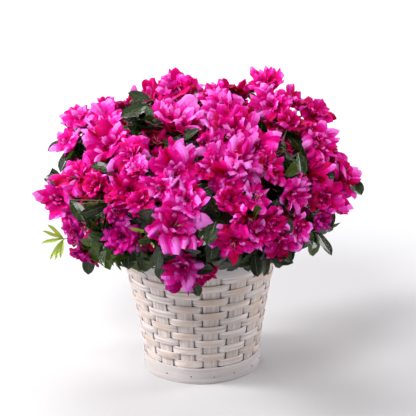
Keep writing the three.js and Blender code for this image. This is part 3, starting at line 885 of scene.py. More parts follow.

# %% [markdown]
# ## Finishes of the petals
# Petals are thin: light falls through them, so each finish mixes a plain surface with a share of light
# from behind. No bloom has one colour. Its ridges are pink, partly as painted highlight, its folds a deep
# magenta as painted shade, and its throat is crimson, darkened further with painted shade. These are
# plain colours that will be dealt out face by face, because the folds of so many small petals break up
# any drawn pattern. The finishes run from dark to light in even steps, as lit and shaded copies of the
# petals' magenta.

# %% Petal finishes
PETAL_GLOW = 0.26
PETAL_ROUGHNESS = 0.5
SHEEN_TINT = (1.0, 0.55, 0.9, 1)
PETAL_LOOK = {
    "Specular_IOR_Level": 0.04, "Sheen_Weight": 0.04, "Sheen_Roughness": 0.4, "Sheen_Tint": SHEEN_TINT,
}
# The darkest stops are the throat's crimson and painted shade, and the palest are painted highlight.
MAGENTA_STOPS = [
    # colour of the petal, and of the light through it
    ((0.28, 0.0, 0.014), (0.40, 0.0, 0.014)),
    ((0.40, 0.0, 0.048), (0.52, 0.0, 0.045)),
    ((0.56, 0.0, 0.125), (0.68, 0.0, 0.11)),
    ((0.67, 0.0, 0.235), (0.76, 0.0, 0.22)),
    ((0.77, 0.030, 0.45), (0.82, 0.020, 0.40)),
    ((0.92, 0.23, 0.80), (0.88, 0.14, 0.69)),
]
VIOLET_STOPS = [
    ((0.40, 0.0, 0.06), (0.50, 0.0, 0.06)),
    ((0.46, 0.0, 0.19), (0.56, 0.0, 0.18)),
    ((0.68, 0.035, 0.45), (0.74, 0.02, 0.40)),
]
MAGENTA_STEPS = 17
VIOLET_STEPS = 7


def petal_steps(name, stops, steps):
    """Finishes from dark to light, evenly spaced along a few colours and the light through them."""
    made = []
    for n in range(steps):
        place = n * (len(stops) - 1) / (steps - 1)
        k = min(int(place), len(stops) - 2)
        part = place - k
        pairs = [zip(stops[k][c], stops[k + 1][c]) for c in (0, 1)]
        colour, glow = (tuple(a + (b - a) * part for a, b in pair) for pair in pairs)
        finish = Finish(f"{name}_{n + 1}", colour, PETAL_ROUGHNESS, **PETAL_LOOK)
        finish.let_light_through(glow, PETAL_GLOW)
        made.append(finish.made)
    return made


petals = petal_steps("petal_magenta", MAGENTA_STOPS, MAGENTA_STEPS)
petals += petal_steps("petal_violet", VIOLET_STOPS, VIOLET_STEPS)
stamen_tones = [
    Finish("stamen_filament", (0.86, 0.42, 0.52), 0.5).made,
    Finish("stamen_tip", (0.25, 0.10, 0.05), 0.6).made,
]
print("petal tones:", len(petals))

# %% [markdown]
# ## Finishes of leaves and wood
# Leaves are dark and glossy, with sunken veins and a paler rib. Fresh shoots are pale and let more
# light through. Twigs and limbs have the grey-brown bark of an azalea, which flakes along its length.

# %% Leaf and bark finishes
LEAF_LOOK = {"Specular_IOR_Level": 0.28, "Coat_Weight": 0.32, "Coat_Roughness": 0.12}
LEAF_TONES = [
    # name, colour, roughness, colour and share of the light through it
    ("leaf_dark", (0.005, 0.010, 0.002), 0.24, (0.03, 0.07, 0.004), 0.06),
    ("leaf_green", (0.012, 0.026, 0.003), 0.26, (0.06, 0.14, 0.005), 0.08),
    ("leaf_olive", (0.050, 0.088, 0.008), 0.32, (0.12, 0.24, 0.01), 0.12),
    ("leaf_rib", (0.05, 0.085, 0.02), 0.4, (0.1, 0.16, 0.03), 0.1),
    ("shoot_green", (0.30, 0.42, 0.06), 0.42, (0.5, 0.65, 0.1), 0.3),
]
DARK, GREEN, OLIVE, RIB, SHOOT = range(len(LEAF_TONES))


def leaf_finish(name, colour, roughness, glow, share):
    finish = Finish(name, colour, roughness, **LEAF_LOOK)
    veins = noise(finish.place(), 330, 3, 0.6)
    finish.feed(Normal=bump(veins, 0.9, 0.0018))
    finish.let_light_through(glow, share)
    return finish.made


leaf_greens = [leaf_finish(*tone) for tone in LEAF_TONES]

twig_bark = Finish("twig_bark", (0.13, 0.085, 0.05), 0.8)
twig_spots = noise(twig_bark.place(), 260, 4)
twig_bark.speckle(twig_spots, [(0.3, (0.07, 0.045, 0.028)), (0.7, (0.22, 0.15, 0.09))], 0.8, 0.0006)
bark = Finish("azalea_bark", (0.16, 0.11, 0.075), 0.85)
flakes = noise(stretched(bark.place(), (160, 160, 45)), 1.0, 5, 0.6)
flake_tones = [(0.3, (0.06, 0.04, 0.028)), (0.55, (0.17, 0.115, 0.075)), (0.72, (0.32, 0.24, 0.17))]
bark.speckle(flakes, flake_tones, 1.0, 0.0015)
bark.feed(Roughness=flakes * 0.2 + 0.7)
print("leaf tones:", len(leaf_greens))

# %% [markdown]
# ## Joined meshes
# A crown has thousands of petals and leaves. Each kind is worked out as arrays of corners for a whole
# mass at once, and joined into one mesh, which keeps the file small and the scene quick to draw.


# %% Sheets and joining
def sheet_faces(down, across, closed):
    wide = across if closed else across - 1
    i, j = np.meshgrid(np.arange(down - 1), np.arange(wide), indexing="ij")
    k = (j + 1) % across
    quads = [i * across + j, i * across + k, (i + 1) * across + k, (i + 1) * across + j]
    return np.stack(quads, -1).reshape(-1, 4)


class Bundle:
    def __init__(self):
        self.points, self.faces, self.tones, self.count = [], [], [], 0

    def add(self, sheets, faces, tones):
        """sheets: copies by corners by 3; tones: one number a face, or copies by faces."""
        copies, corners = sheets.shape[:2]
        first = self.count + np.arange(copies)[:, None, None] * corners
        self.points.append(sheets.reshape(-1, 3))
        self.faces.append((faces[None] + first).reshape(-1, 4))
        self.tones.append(np.broadcast_to(tones, (copies, len(faces))).ravel())
        self.count += copies * corners

    def piece(self, name, finishes, slot, node):
        mesh = bpy.data.meshes.new(name)
        mesh.from_pydata(np.concatenate(self.points), [], np.concatenate(self.faces))
        mesh.polygons.foreach_set("use_smooth", np.ones(len(mesh.polygons), bool))
        made = hold(put_in_scene(name, mesh), finishes, slot, node)
        mesh.polygons.foreach_set("material_index", np.concatenate(self.tones).astype(np.int32))
        mesh.update()
        return made


def frames_of(axes, spins):
    """Three directions for each axis: two across it, turned by its spin, and the axis itself."""
    helper = np.where(np.abs(axes[:, 2:]) > 0.8, [[1.0, 0, 0]], [[0, 0, 1.0]])
    side = unit_of(np.cross(axes, helper))
    other = np.cross(axes, side)
    c, s = np.cos(spins)[:, None], np.sin(spins)[:, None]
    return np.stack([side * c + other * s, other * c - side * s, axes], 1)


print("joined meshes ready")

# %% [markdown]
# Twigs, limbs and stamens are tubes: rings of corners that stand across a path. A smooth path is an arc
# through three or four control points, as a bent twig has.


# %% Tubes along paths
def tubes(paths, radii, sides):
    """paths: copies by steps by 3; radii: copies by steps or steps. Corners ring by ring."""
    along = unit_of(np.gradient(paths, axis=1))
    helper = np.where(np.abs(along[:, :1, 2:]) > 0.9, [[[1.0, 0, 0]]], [[[0, 0, 1.0]]])
    across = unit_of(np.cross(np.broadcast_to(helper, along.shape), along))
    third = np.cross(along, across)
    turn = np.arange(sides) * 2 * math.pi / sides
    ring = across[:, :, None] * np.cos(turn)[:, None] + third[:, :, None] * np.sin(turn)[:, None]
    radii = np.broadcast_to(radii, paths.shape[:2])
    return (paths[:, :, None] + ring * radii[:, :, None, None]).reshape(len(paths), -1, 3)


def arc(points, steps):
    """A smooth path through control points (copies by 3 or 4 by 3)."""
    t = np.linspace(0, 1, steps)[None, :, None]
    if points.shape[1] == 3:
        a, b, c = (points[:, k : k + 1] for k in range(3))
        return a * (1 - t) ** 2 + 2 * b * t * (1 - t) + c * t * t
    a, b, c, d = (points[:, k : k + 1] for k in range(4))
    return a * (1 - t) ** 3 + 3 * b * t * (1 - t) ** 2 + 3 * c * t * t * (1 - t) + d * t**3


print("tubes ready")

# %% [markdown]
# ## Skin of a limb
# Old azalea wood is knobbly, with thin bark that flakes along its length. A limb is a tube along its
# path, pushed in and out by a few waves that turn round it, and closed by a fan at either end.

# %% Skin of a limb
KNOB_SHARE = 0.14
SMOOTH_BARK_BELOW = math.radians(60)


def knobbly(corners, path, sides, random, depth):
    steps = len(path)
    turn = np.tile(np.arange(sides) * 2 * math.pi / sides, steps)
    down = np.repeat(np.linspace(0, 1, steps), sides)
    swell = np.zeros(len(turn))
    for k in (2, 3, 5, 7):
        swell += np.sin(k * turn + random.uniform(4, 14) * down * k + random.uniform(0, 6)) / k
        swell += np.sin(random.uniform(9, 30) * down + random.uniform(0, 6)) / 5
    out = unit_of(corners - np.repeat(path, sides, 0))
    return corners + out * (swell * depth)[:, None]


def limb_piece(name, path, radii, sides, random, node):
    steps = len(path)
    tube = tubes(path[None], radii, sides)[0]
    skin = knobbly(tube, path, sides, random, radii.mean() * KNOB_SHARE)
    ring = np.arange(sides)
    after = (ring + 1) % sides
    last = (steps - 1) * sides
    foot = np.stack([after, ring, np.full(sides, steps * sides)], 1)
    tip = np.stack([last + ring, last + after, np.full(sides, steps * sides + 1)], 1)
    faces = sheet_faces(steps, sides, True).tolist() + foot.tolist() + tip.tolist()
    mesh = bpy.data.meshes.new(name)
    mesh.from_pydata(np.concatenate([skin, path[[0, -1]]]).tolist(), [], faces)
    made = put_in_scene(name, mesh)
    edit_all(made, bpy.ops.mesh.normals_make_consistent, inside=False)
    bpy.ops.object.shade_smooth_by_angle(angle=SMOOTH_BARK_BELOW)
    return hold(made, [bark.made], "bark", node)


print("limb skin ready")

# %% [markdown]
# ## Trunk and boughs
# A short trunk stands in the soil and a bough runs out from it to the foot of each mass. The low
# masses' boughs leave the trunk lower down and arch over the rim.

# %% Trunk and boughs
TRUNK_FOOT_Z = 141.3 * MM
TRUNK_TIP = np.array([3, -4, 186]) * MM
TRUNK_BEND = 5 * MM
TRUNK_STEPS = 22
TRUNK_SIDES = 20
TRUNK_RADII = np.array([13, 10.5, 8.5, 7.5, 6]) * MM
BOUGH_STEPS = 18
BOUGH_SIDES = 12
BOUGH_REACH = 0.45
STEM_REACH = 0.69
LOW_POLAR = 1.1


def trunk_point(share):
    lean = 0 if share < 0.15 else share
    bend = TRUNK_BEND * math.sin(math.pi * lean)
    z = TRUNK_FOOT_Z + (TRUNK_TIP[2] - TRUNK_FOOT_Z) * share
    return np.array([TRUNK_TIP[0] * lean - bend, TRUNK_TIP[1] * lean, z])


def bough_path(m, low_masses):
    low = m in low_masses
    start = trunk_point(0.42 + 0.13 * (low_masses.index(m) % 3) if low else 0.8)
    end = crown_point(mass_polar[m], mass_turn[m], BOUGH_REACH)
    end_way = unit_of(crown_point(mass_polar[m], mass_turn[m], STEM_REACH) - end)
    span = np.linalg.norm(end - start)
    early = start + (end - start) * 0.33 + np.array([0, 0, 0.04 * span if low else 0])
    return arc(np.stack([start, early, end - end_way * 0.33 * span, end])[None], BOUGH_STEPS)[0]


shares = np.linspace(0, 1, TRUNK_STEPS)
trunk_path = np.array([trunk_point(share) for share in shares])
trunk_path[:, :2] = np.array([trunk_path[max(0, k - 2) : k + 3, :2].mean(0) for k in range(TRUNK_STEPS)])
trunk_radii = np.interp(shares, [0, 0.1, 0.3, 0.65, 1], TRUNK_RADII)
limb_piece("azalea_trunk", trunk_path, trunk_radii, TRUNK_SIDES, dealer("trunk"), "trunk")

low_masses = [m for m in range(MASSES) if mass_polar[m] > LOW_POLAR]
bough_radii = np.linspace(4.2, 2.6, BOUGH_STEPS) * MM
for m in range(MASSES):
    node, path = f"bough_{m + 1:02d}", bough_path(m, low_masses)
    limb_piece(f"azalea_{node}", path, bough_radii, BOUGH_SIDES, dealer("boughs", m), node)
print("limbs:", 1 + MASSES)

# %% [markdown]
# ## One petal
# A double azalea bloom has five broad outer petals, five that stand between them, and smaller ones
# curled up in the middle. Each petal is a small sheet. It rises steeply from the funnel's foot and then
# leans out, and its midline is summed up step by step from those slopes. Its outline widens to a
# broad, uneven tip. Folds run out from the foot and grow into the frill that azaleas are known for, so
# the same waves move the sheet up and down and push its margin in and out. The height of the frill is
# kept as well: ridges will get a lighter tone as painted highlight, and the folds between them a darker
# one as painted shade.

# %% Petal sheets
FRILL_WAVES = ((2.6, 1.0), (6.4, 1.2), (11.5, 0.95))
CRINKLE = 0.30
FOLDS = 3
FOLD_WIDTH = 0.12
FOLD_SHADE = 20
NOTCH_WIDTH = 0.22


def petal_sheets(random, grid, length, width, slopes, ruffle):
    """Sheets with their foot at zero, X outwards, Y across, Z along the bloom's axis, and their ridges:
    the heights of frill and folds that set each face's painted highlight and shade.

    slopes: those of the midline at its foot, middle and tip above the horizontal, in degrees.
    """
    count, (rows, columns) = len(length), grid
    v = np.linspace(0, 1, rows)
    u = np.linspace(-1, 1, columns)[None, None, :]

    def each(low, high):
        return random.uniform(low, high, (count, 1, 1))

    # The midline, summed up from its slopes.
    foot, middle, tip = slopes
    low, high = np.minimum(v / 0.5, 1), np.maximum((v - 0.5) / 0.5, 0)
    slope = foot + (middle - foot) * low + (tip - middle) * high**1.4
    slope = np.radians(slope + each(-10, 10)[..., 0] * v)
    step = length[:, None] / (rows - 1)
    out = np.cumsum(np.cos(slope) * step, 1) - np.cos(slope[:, :1]) * step
    up = np.cumsum(np.sin(slope) * step, 1) - np.sin(slope[:, :1]) * step

    # Half the width: it grows from a narrow foot, and shrinks a little at the tip.
    side = np.clip(v / 0.6, 0, 1)
    profile = (0.3 + 0.7 * side**2 * (3 - 2 * side)) * (1 - 0.10 * np.clip((v - 0.75) / 0.25, 0, 1) ** 2)
    v = v[None, :, None]
    long = length[:, None, None]
    half = width * long * profile[None, :, None] * each(0.85, 1.15)

    # The frill and the folds, as heights over the smooth sheet.
    frill = 0
    for beat, size in FRILL_WAVES:
        frill = frill + size * each(0.4, 1.3) * np.sin(beat * u * each(0.8, 1.2) + 1.5 * v + each(0, 6.28))
    crinkle = random.normal(0, 1, (count, 1, columns))
    frill = frill + CRINKLE * crinkle * v
    edge = np.clip(v**1.5 * (0.3 + 0.7 * np.abs(u) ** 1.5) + v**5, 0, 1)
    folds = 0
    for _ in range(FOLDS):
        folds = folds - each(0.02, 0.08) * np.exp(-(((u - each(-0.8, 0.8)) / FOLD_WIDTH) ** 2))

    # The margin: rounded, with a shallow notch in the middle and the frill's own waves.
    rounding = each(0.13, 0.27) * (1 - np.sqrt(1 - 0.97 * u**2)) * v**3
    notch = each(0, 0.09) * np.exp(-((u / NOTCH_WIDTH) ** 2)) * v**5
    margin = 1 - rounding - notch + 0.040 * v**3 * frill + 0.034 * v**6 * crinkle

    # The sheet is hollow along its midline, and every height stands square to the midline.
    hollow = each(-0.05, 0.35) * (1 - 0.9 * v) + each(-0.35, 0.15) * v
    fold_rise = folds * long * np.sin(np.pi * np.minimum(v * 1.1, 1))
    rise = hollow * u**2 * half + ruffle * long * edge * frill + fold_rise
    x = out[..., None] * margin - rise * np.sin(slope)[..., None]
    y = half * u * (1 + 0.07 * frill * edge) + each(-0.16, 0.16) * long * v**2
    z = up[..., None] * (0.35 + 0.65 * margin) + rise * np.cos(slope)[..., None]
    # Tone by relief: painted highlight on the frill's ridges, painted shade in its troughs and folds.
    ridge = edge * frill + folds * FOLD_SHADE
    ridge = (ridge[:, 1:, 1:] + ridge[:, :-1, 1:] + ridge[:, 1:, :-1] + ridge[:, :-1, :-1]) / 4
    return np.stack([x, y, z], -1).reshape(count, -1, 3), ridge


def turned_about(sheets, turns, tilts, foot_radius):
    """Stands each sheet at its turn round the bloom's axis, its foot a little off that axis."""
    x, y, z = sheets[..., 0] + foot_radius, sheets[..., 1], sheets[..., 2]
    z = z + y * np.tan(tilts)[:, None]
    c, s = np.cos(turns)[:, None], np.sin(turns)[:, None]
    return np.stack([x * c - y * s, x * s + y * c, z], -1)


GRIDS = {"outer": (8, 13), "inner": (6, 9)}
LARGE_GRIDS = {"outer": (12, 19), "inner": (8, 12)}
print("faces of a petal:", {kind: (rows - 1) * (columns - 1) for kind, (rows, columns) in GRIDS.items()})

# %% [markdown]
# ## Whole blooms
# A bloom is four rounds of petals. No bloom has one colour: each has its own depth of tone, its petals
# differ a little, and on a petal the tone climbs from a crimson foot, deepened by painted shade, to a pale
# frill whose ridges carry painted highlight and whose folds carry painted shade. The tones stand in order
# from dark to light, so a number is enough to pick one for each face.

# %% Petals of a set of blooms
LAYERS = [
    # petals, kind, length, half width, slopes at foot, middle and tip, ruffle, turn
    (5, "outer", 1.12, 0.66, (64, 30, -30), 0.085, 0.0),
    (5, "outer", 1.00, 0.62, (75, 52, 0), 0.09, 0.5),
    (3, "inner", 0.74, 0.60, (83, 68, 30), 0.12, 0.25),
    (2, "inner", 0.46, 0.56, (86, 84, 60), 0.13, 0.1),
]
FOOT_DEPTH = 0.72
FOOT_RING = 0.03
TONE_RANGE = 5
RIDGE_HIGHLIGHT_AND_SHADE = 1.35
TIP_TONE = 1.7
THROAT_END = 0.36
THROAT_CRIMSON_AND_SHADE = 6
BLOOM_KEYS = ("centre", "radius", "axis", "spin", "closed", "tone", "violet")


def bloom_set(bundle, blooms, grids, random):
    """Adds the petals of some blooms, and gives back their frames, feet and radii for the stamens."""
    count = len(blooms)
    centres, radii, axes, spins, closed, depth, violet = (
        np.array([b[key] for b in blooms]) for key in BLOOM_KEYS
    )
    frames = frames_of(axes, spins)
    stretch = random.uniform(0.86, 1.14, (count, 1, 2))
    feet = centres - frames[:, 2] * (radii * FOOT_DEPTH)[:, None]
    fullness = random.uniform(0.55, 1.05, count)
    first_tone = np.where(violet, MAGENTA_STEPS, 0)[:, None]
    tone_steps = np.where(violet, VIOLET_STEPS - 1, MAGENTA_STEPS - 1)[:, None]
    for petals_here, kind, length, width, (foot, middle, tip), ruffle, turn in LAYERS:
        rows, columns = grids[kind]
        v = np.repeat((np.arange(rows - 1) + 0.5) / (rows - 1), columns - 1)[None]
        for k in range(petals_here):
            long = radii * length * random.uniform(0.82, 1.12, count) * (1 if turn == 0 else fullness)
            squeeze = closed[:, None] * (34 + 20 * np.linspace(0, 1, rows))[None]
            swing = random.uniform(-20, 18, (count, 1))
            slopes = (foot + 0 * swing, middle + squeeze + 0.5 * swing, tip + squeeze + 1.9 * swing)
            sheets, ridge = petal_sheets(random, grids[kind], long, width, slopes, ruffle)
            turns = (k + turn) * 2 * math.pi / petals_here + random.uniform(-0.25, 0.25, count)
            tilts = random.uniform(-0.4, 0.4, count)
            sheets = turned_about(sheets, turns, tilts, FOOT_RING * radii[:, None])
            sheets[..., :2] *= stretch
            placed = np.einsum("bpk,bkx->bpx", sheets, frames) + feet[:, None]
            own = depth + random.normal(0, 0.45, count)
            # Painted highlight on ridges and painted shade in folds; paler towards the tip, partly the
            # petal's own pink and partly painted light.
            level = own[:, None] + RIDGE_HIGHLIGHT_AND_SHADE * ridge.reshape(count, -1) + TIP_TONE * (v - 0.68)
            # A darker foot: the throat's own crimson, deepened by painted shade in the funnel.
            level = level - THROAT_CRIMSON_AND_SHADE * np.clip(THROAT_END - v, 0, 1)
            tones = first_tone + np.round(np.clip(level / TONE_RANGE, 0, 1) * tone_steps)
            bundle.add(placed, sheet_faces(rows, columns, False), tones)
    return frames, feet, radii


print("petals of a bloom:", sum(layer[0] for layer in LAYERS))

# %% [markdown]
# In about a third of the blooms the stamens can be seen. Each is a thin bent thread with a thicker,
# darker tip.

# %% Stamens
STAMENS = 4
STAMEN_SHARE = 0.3
STAMEN_RADII = np.array([0.35, 0.35, 0.3, 0.3, 0.6]) * MM
STAMEN_SIDES = 3


def stamen_set(bundle, frames, feet, radii, random):
    steps = len(STAMEN_RADII)
    showing = [k for k in range(len(radii)) if random.random() < STAMEN_SHARE]
    if not showing:
        return
    count = len(showing)
    for k in range(STAMENS):
        way = k * 2 * math.pi / STAMENS + random.uniform(-0.4, 0.4, count)
        spread = random.uniform(0.08, 0.24, count)
        tip = np.stack([spread * np.cos(way), spread * np.sin(way), random.uniform(0.6, 0.85, count)], 1)
        points = np.stack([0 * tip, tip * (0.2, 0.2, 0.5), tip], 1) * radii[showing][:, None, None]
        placed = np.einsum("bpk,bkx->bpx", points, frames[showing]) + feet[showing][:, None]
        sheets = tubes(arc(placed, steps), STAMEN_RADII, STAMEN_SIDES)
        bundle.add(sheets, sheet_faces(steps, STAMEN_SIDES, True), np.repeat([0, 0, 0, 1], STAMEN_SIDES))


print("stamens of a bloom:", STAMENS)

# %% [markdown]
# ## Blooms of the shown side
# The side that the photograph shows has its blooms one by one: each is given by its turn round the
# crown, its angle from the top, its radius and its tone. Some are seen from their side, with their
# petals together. Three more hang over the rim in front.

# %% Blooms of the shown side
VIEW_WAY = unit_of(np.array(CAMERA_PLACE) - CROWN_CENTRE)
# A bloom's depth of tone: partly its own colour, partly painted light and shade for where it stands.
PALE, BRIGHT, MIDDLE, RICH, DARK_TONE = 3.6, 3.1, 2.5, 2.0, 1.3
VIOLET_TONE, SIDE_ON = -3.0, -2.0
BETWEEN = 2.8
FULLER = 1.06
SHOWN_BLOOMS = [
    # turn and polar angle in degrees, radius in mm, share of the crown's reach in hundredths, tone
    (-101, 45, 28, 93, PALE), (-107, 51, 19, 106, PALE), (-100, 61, 20, 103, BRIGHT),
    (-62, 46, 25, 93, MIDDLE), (-42, 46, 21, 93, BRIGHT), (-115, 42, 12, 100, MIDDLE),
    (-134, 29, 22, 93, RICH), (-157, 24, 24, 94, BRIGHT), (-22, 20, 30, 93, BRIGHT),
    (125, 6, 19, 93, BRIGHT), (36, 15, 21, 93, PALE), (27, 29, 30, 93, BRIGHT), (130, 31, 22, 108, MIDDLE),
    (104, 30, 22, 93, BRIGHT), (115, 42, 20, 103, BRIGHT), (107, 50, 20, 104, MIDDLE),
    (81, 40, 17, 93, RICH), (9, 38, 17, 93, PALE), (10, 48, 21, 93, BRIGHT), (25, 48, 26, 93, PALE),
    (34, 42, 21, 93, BRIGHT), (37, 55, 21, 93, MIDDLE), (-12, 45, 22, 93, BRIGHT), (-13, 54, 26, 93, PALE),
    (-19, 62, 20, 93, PALE), (2, 52, 11, 93, RICH), (11, 58, 20, 93, BRIGHT), (83, 57, 25, 95, BRIGHT),
    (91, 79, 21, 95, MIDDLE), (86, 53, 18, 93, MIDDLE), (60, 66, 21, 93, SIDE_ON), (42, 73, 23, 93, PALE),
    (58, 80, 22, 93, MIDDLE), (54, 90, 14, 93, VIOLET_TONE), (24, 67, 18, 93, PALE),
    (12, 67, 17, 93, MIDDLE), (13, 76, 16, 93, SIDE_ON), (11, 92, 21, 93, MIDDLE), (21, 86, 18, 93, BRIGHT),
    (28, 82, 18, 93, MIDDLE), (32, 100, 19, 93, MIDDLE), (40, 90, 16, 93, BRIGHT), (-8, 78, 32, 93, BRIGHT),
    (-6, 66, 22, 93, PALE), (-70, 66, 25, 93, MIDDLE),
    (-85, 91, 23, 94, SIDE_ON), (-52, 66, 16, 93, MIDDLE), (-33, 53, 14, 93, PALE), (-32, 64, 22, 93, RICH),
    (-25, 69, 15, 93, MIDDLE), (-41, 68, 11, 93, RICH), (-35, 77, 16, 93, SIDE_ON),
    (-33, 89, 19, 93, VIOLET_TONE), (-61, 103, 18, 97, VIOLET_TONE), (-58, 120, 17, 104, VIOLET_TONE),
]
FRONT_CLUSTER = [
    # centre in mm, axis, radius in mm, closed, tone
    ((-20, -146, 178), (-0.10, -0.95, 0.25), 23, 0.15, PALE),
    ((-27, -120, 155), (-0.40, -0.85, -0.15), 20, 0.25, VIOLET_TONE),
    ((7, -117, 158), (0.45, -0.75, -0.45), 22, 0.6, RICH),
]


def facing(centre):
    """How far a place of the crown faces the camera: 1 squarely, 0 at the crown's horizon."""
    return crown_normal(centre) @ VIEW_WAY


def bloom(centre, axis, radius, closed, tone, spin):
    """A bloom's values. Violet and side-on ones have a depth of tone between bright and middle."""
    depth = BETWEEN if tone in (VIOLET_TONE, SIDE_ON) else tone
    return {"centre": centre, "axis": unit_of(axis), "radius": radius, "closed": closed, "spin": spin,
            "tone": depth, "violet": tone == VIOLET_TONE}


blooms = []
for i, (turn, polar, radius, out, tone) in enumerate(SHOWN_BLOOMS):
    random = dealer("shown blooms", i)
    polar, turn = math.radians(polar), math.radians(turn)
    centre = crown_point(polar, turn, out / 100)
    lean = 0.15 + 0.6 * (1 - facing(centre))
    axis = crown_normal(centre) + lean * VIEW_WAY + random.normal(0, 0.34, 3)
    if tone == SIDE_ON:
        axis = axis * 0.5 + np.array([math.cos(turn) * random.choice([-1, 1]), math.sin(turn), -0.3])
    closed = 0.7 if tone == SIDE_ON else random.choice([0, 0, 0.2, 0.4])
    blooms.append(bloom(centre, axis, radius * FULLER * MM, closed, tone, random.uniform(0, 6)))
for (x, y, z), axis, radius, closed, tone in FRONT_CLUSTER:
    blooms.append(bloom(np.array([x, y, z]) * MM, np.array(axis), radius * MM, closed, tone, 1.0 + x))
shown = len(blooms)
print("blooms of the shown side:", shown)

# %% [markdown]
# ## Blooms deeper in the crown
# Between the blooms in front one looks into the crown, at blooms that stand lower and get a dark tone,
# as painted shade. They follow a spiral of their own, and leave the leafy gaps free.

# %% Blooms deeper in the crown
SHOWN_GAPS = [
    # leafy gaps between the blooms: turn and polar angle of the middle, and spread, in degrees
    (-90, 28, 10), (-58, 27, 7), (-19, 38, 9), (49, 59, 9), (-97, 67, 7), (-55, 83, 11), (-47, 105, 9),
    (-22, 86, 9), (6, 78, 6), (6, 88, 5), (25, 111, 8), (66, 39, 6), (-27, 59, 4), (-49, 57, 5), (52, 99, 3),
    (0, 60, 5), (38, 92, 4), (3, 41, 4),
]
DEEPER_PLACES = 230
DEEPER_TURN = 0.6
DEEPER_LOWEST = 1.75
DEEPER_ROOM = 28 * MM
# Deeper blooms get a dark tone: painted shade inside the crown.
DEEP_SHADE_TONE = 1.2


def far_from(centre, others, distance):
    return all(np.linalg.norm(centre - other["centre"]) > distance for other in others)


for i in range(DEEPER_PLACES):
    random = dealer("deeper blooms", i)
    polar, turn = polar_at((i + 0.5) / DEEPER_PLACES), i * GOLDEN_TURN + DEEPER_TURN
    centre = draped_point(polar, turn, random.uniform(0.72, 0.80))
    in_front = facing(centre) >= 0 and polar <= DEEPER_LOWEST
    in_a_gap = in_a_patch(polar, turn, SHOWN_GAPS, 1.1)
    if not in_front or in_a_gap or not far_from(centre, blooms, DEEPER_ROOM):
        continue
    axis = crown_normal(centre) + random.normal(0, 0.3, 3)
    blooms.append(bloom(centre, axis, random.uniform(17, 22) * MM, 0.3, DEEP_SHADE_TONE, random.uniform(0, 6)))
deeper = len(blooms)
print("blooms deeper in:", deeper - shown)

# %% [markdown]
# ## Blooms round the back
# Round the back the blooms follow the rule of the solids, in pairs, and a finer spiral fills what is
# left. Blooms just behind the crown's horizon sit a little lower, so that the lumps of the outline are
# the ones that were placed.

# %% Main blooms round the back
HORIZON = 0.02
FAR_SIDE = 0.75
SINK = 0.05
BACK_ROOM = 30 * MM


def behind(centre):
    """Whether a place is behind the horizon that the camera sees."""
    return facing(centre) < HORIZON


def lowered(centre):
    """Sinks a bloom that is just behind the horizon, less and less towards the far side."""
    sink = SINK * np.clip((facing(centre) + FAR_SIDE) / FAR_SIDE, 0, 1)
    return CROWN_CENTRE + (centre - CROWN_CENTRE) * (1 - sink)


for i, place in enumerate(sites):
    random = dealer("back blooms", i)
    centre, axis = place["centre"], place["axis"]
    hidden = behind(centre) and not in_a_patch(place["polar"], place["turn"], SHOWN_GAPS, 1)
    if place["leafy"] or not hidden or not far_from(centre, blooms, BACK_ROOM):
        continue
    lean = random.normal(0, 0.24, 3) + axis * (0.15, 0.15, 0) - np.array([0, 0, 0.12])
    tone = random.choice([PALE, BRIGHT, BRIGHT, MIDDLE, RICH, VIOLET_TONE])
    closed = 0.0 if random.random() < 0.72 else random.uniform(0.2, 0.5)
    radius = place["radius"] * FULLER
    blooms.append(bloom(lowered(centre), axis + lean, radius, closed, tone, place["spin"]))
main_blooms = blooms[deeper:]
print("main blooms round the back:", len(main_blooms))

# %% [markdown]
# Azalea buds open in twos and threes, so a main bloom gets a smaller one beside it where there is room.
# What is still free is filled along the finer spiral.

# %% Their pairs, and the blooms that fill what is left
FILLING_PLACES = 190
FILLING_TURN = 1.7
FILLING_LOWEST = 2.0
PAIR_ROOM = 20 * MM
PAIR_OVER_RIM = 14 * MM
FILLING_OVER_RIM = 16 * MM


def side_bloom(main, random):
    """The smaller bloom of a pair: beside the main one, a little lower, and leaning away from it."""
    across = frames_of(main["axis"][None], random.uniform(0, 2 * math.pi, 1))[0, 0]
    away = unit_of(across - np.array([0, 0, 0.25]))
    centre = main["centre"] + away * main["radius"] * 1.1 - main["axis"] * main["radius"] * 0.3
    return bloom(centre, main["axis"] + away * 0.7, main["radius"] * 0.84, random.choice([0, 0.25, 0.6]),
                 random.choice([MIDDLE, RICH, DARK_TONE, VIOLET_TONE]), random.uniform(0, 6))


def share_out(centre):
    """How far out a place is, as a share of the crown's reach that way."""
    rise = CROWN_RISE if centre[2] > CROWN_CENTRE[2] else CROWN_DROP
    return np.linalg.norm((centre - CROWN_CENTRE) / (CROWN_RADIUS, CROWN_RADIUS, rise))


def fits(centre, room, over_rim):
    return behind(centre) and not inside_basket(centre, over_rim) and far_from(centre, blooms, room)


for i, main in enumerate(main_blooms):
    beside = side_bloom(main, dealer("paired blooms", i))
    if share_out(beside["centre"]) < 1.0 and fits(beside["centre"], PAIR_ROOM, PAIR_OVER_RIM):
        blooms.append(beside)
for i in range(FILLING_PLACES):
    random = dealer("filling blooms", i)
    polar = polar_at((i + 0.5) / FILLING_PLACES)
    turn = i * GOLDEN_TURN + FILLING_TURN + random.uniform(-0.08, 0.08)
    centre = draped_point(polar, turn, random.uniform(0.82, 0.93))
    free = polar < FILLING_LOWEST and not in_a_patch(polar, turn, LEAFY_PATCHES + SHOWN_GAPS, 0.85)
    if free and fits(centre, BACK_ROOM, FILLING_OVER_RIM):
        axis = crown_normal(centre) + random.normal(0, 0.3, 3) + np.array([0, 0, 0.1])
        tone = random.choice([PALE, BRIGHT, MIDDLE, RICH])
        radius = random.uniform(22, 27) * MM
        closed = random.choice([0, 0, 0.3])
        blooms.append(bloom(lowered(centre), axis, radius, closed, tone, random.uniform(0, 6)))
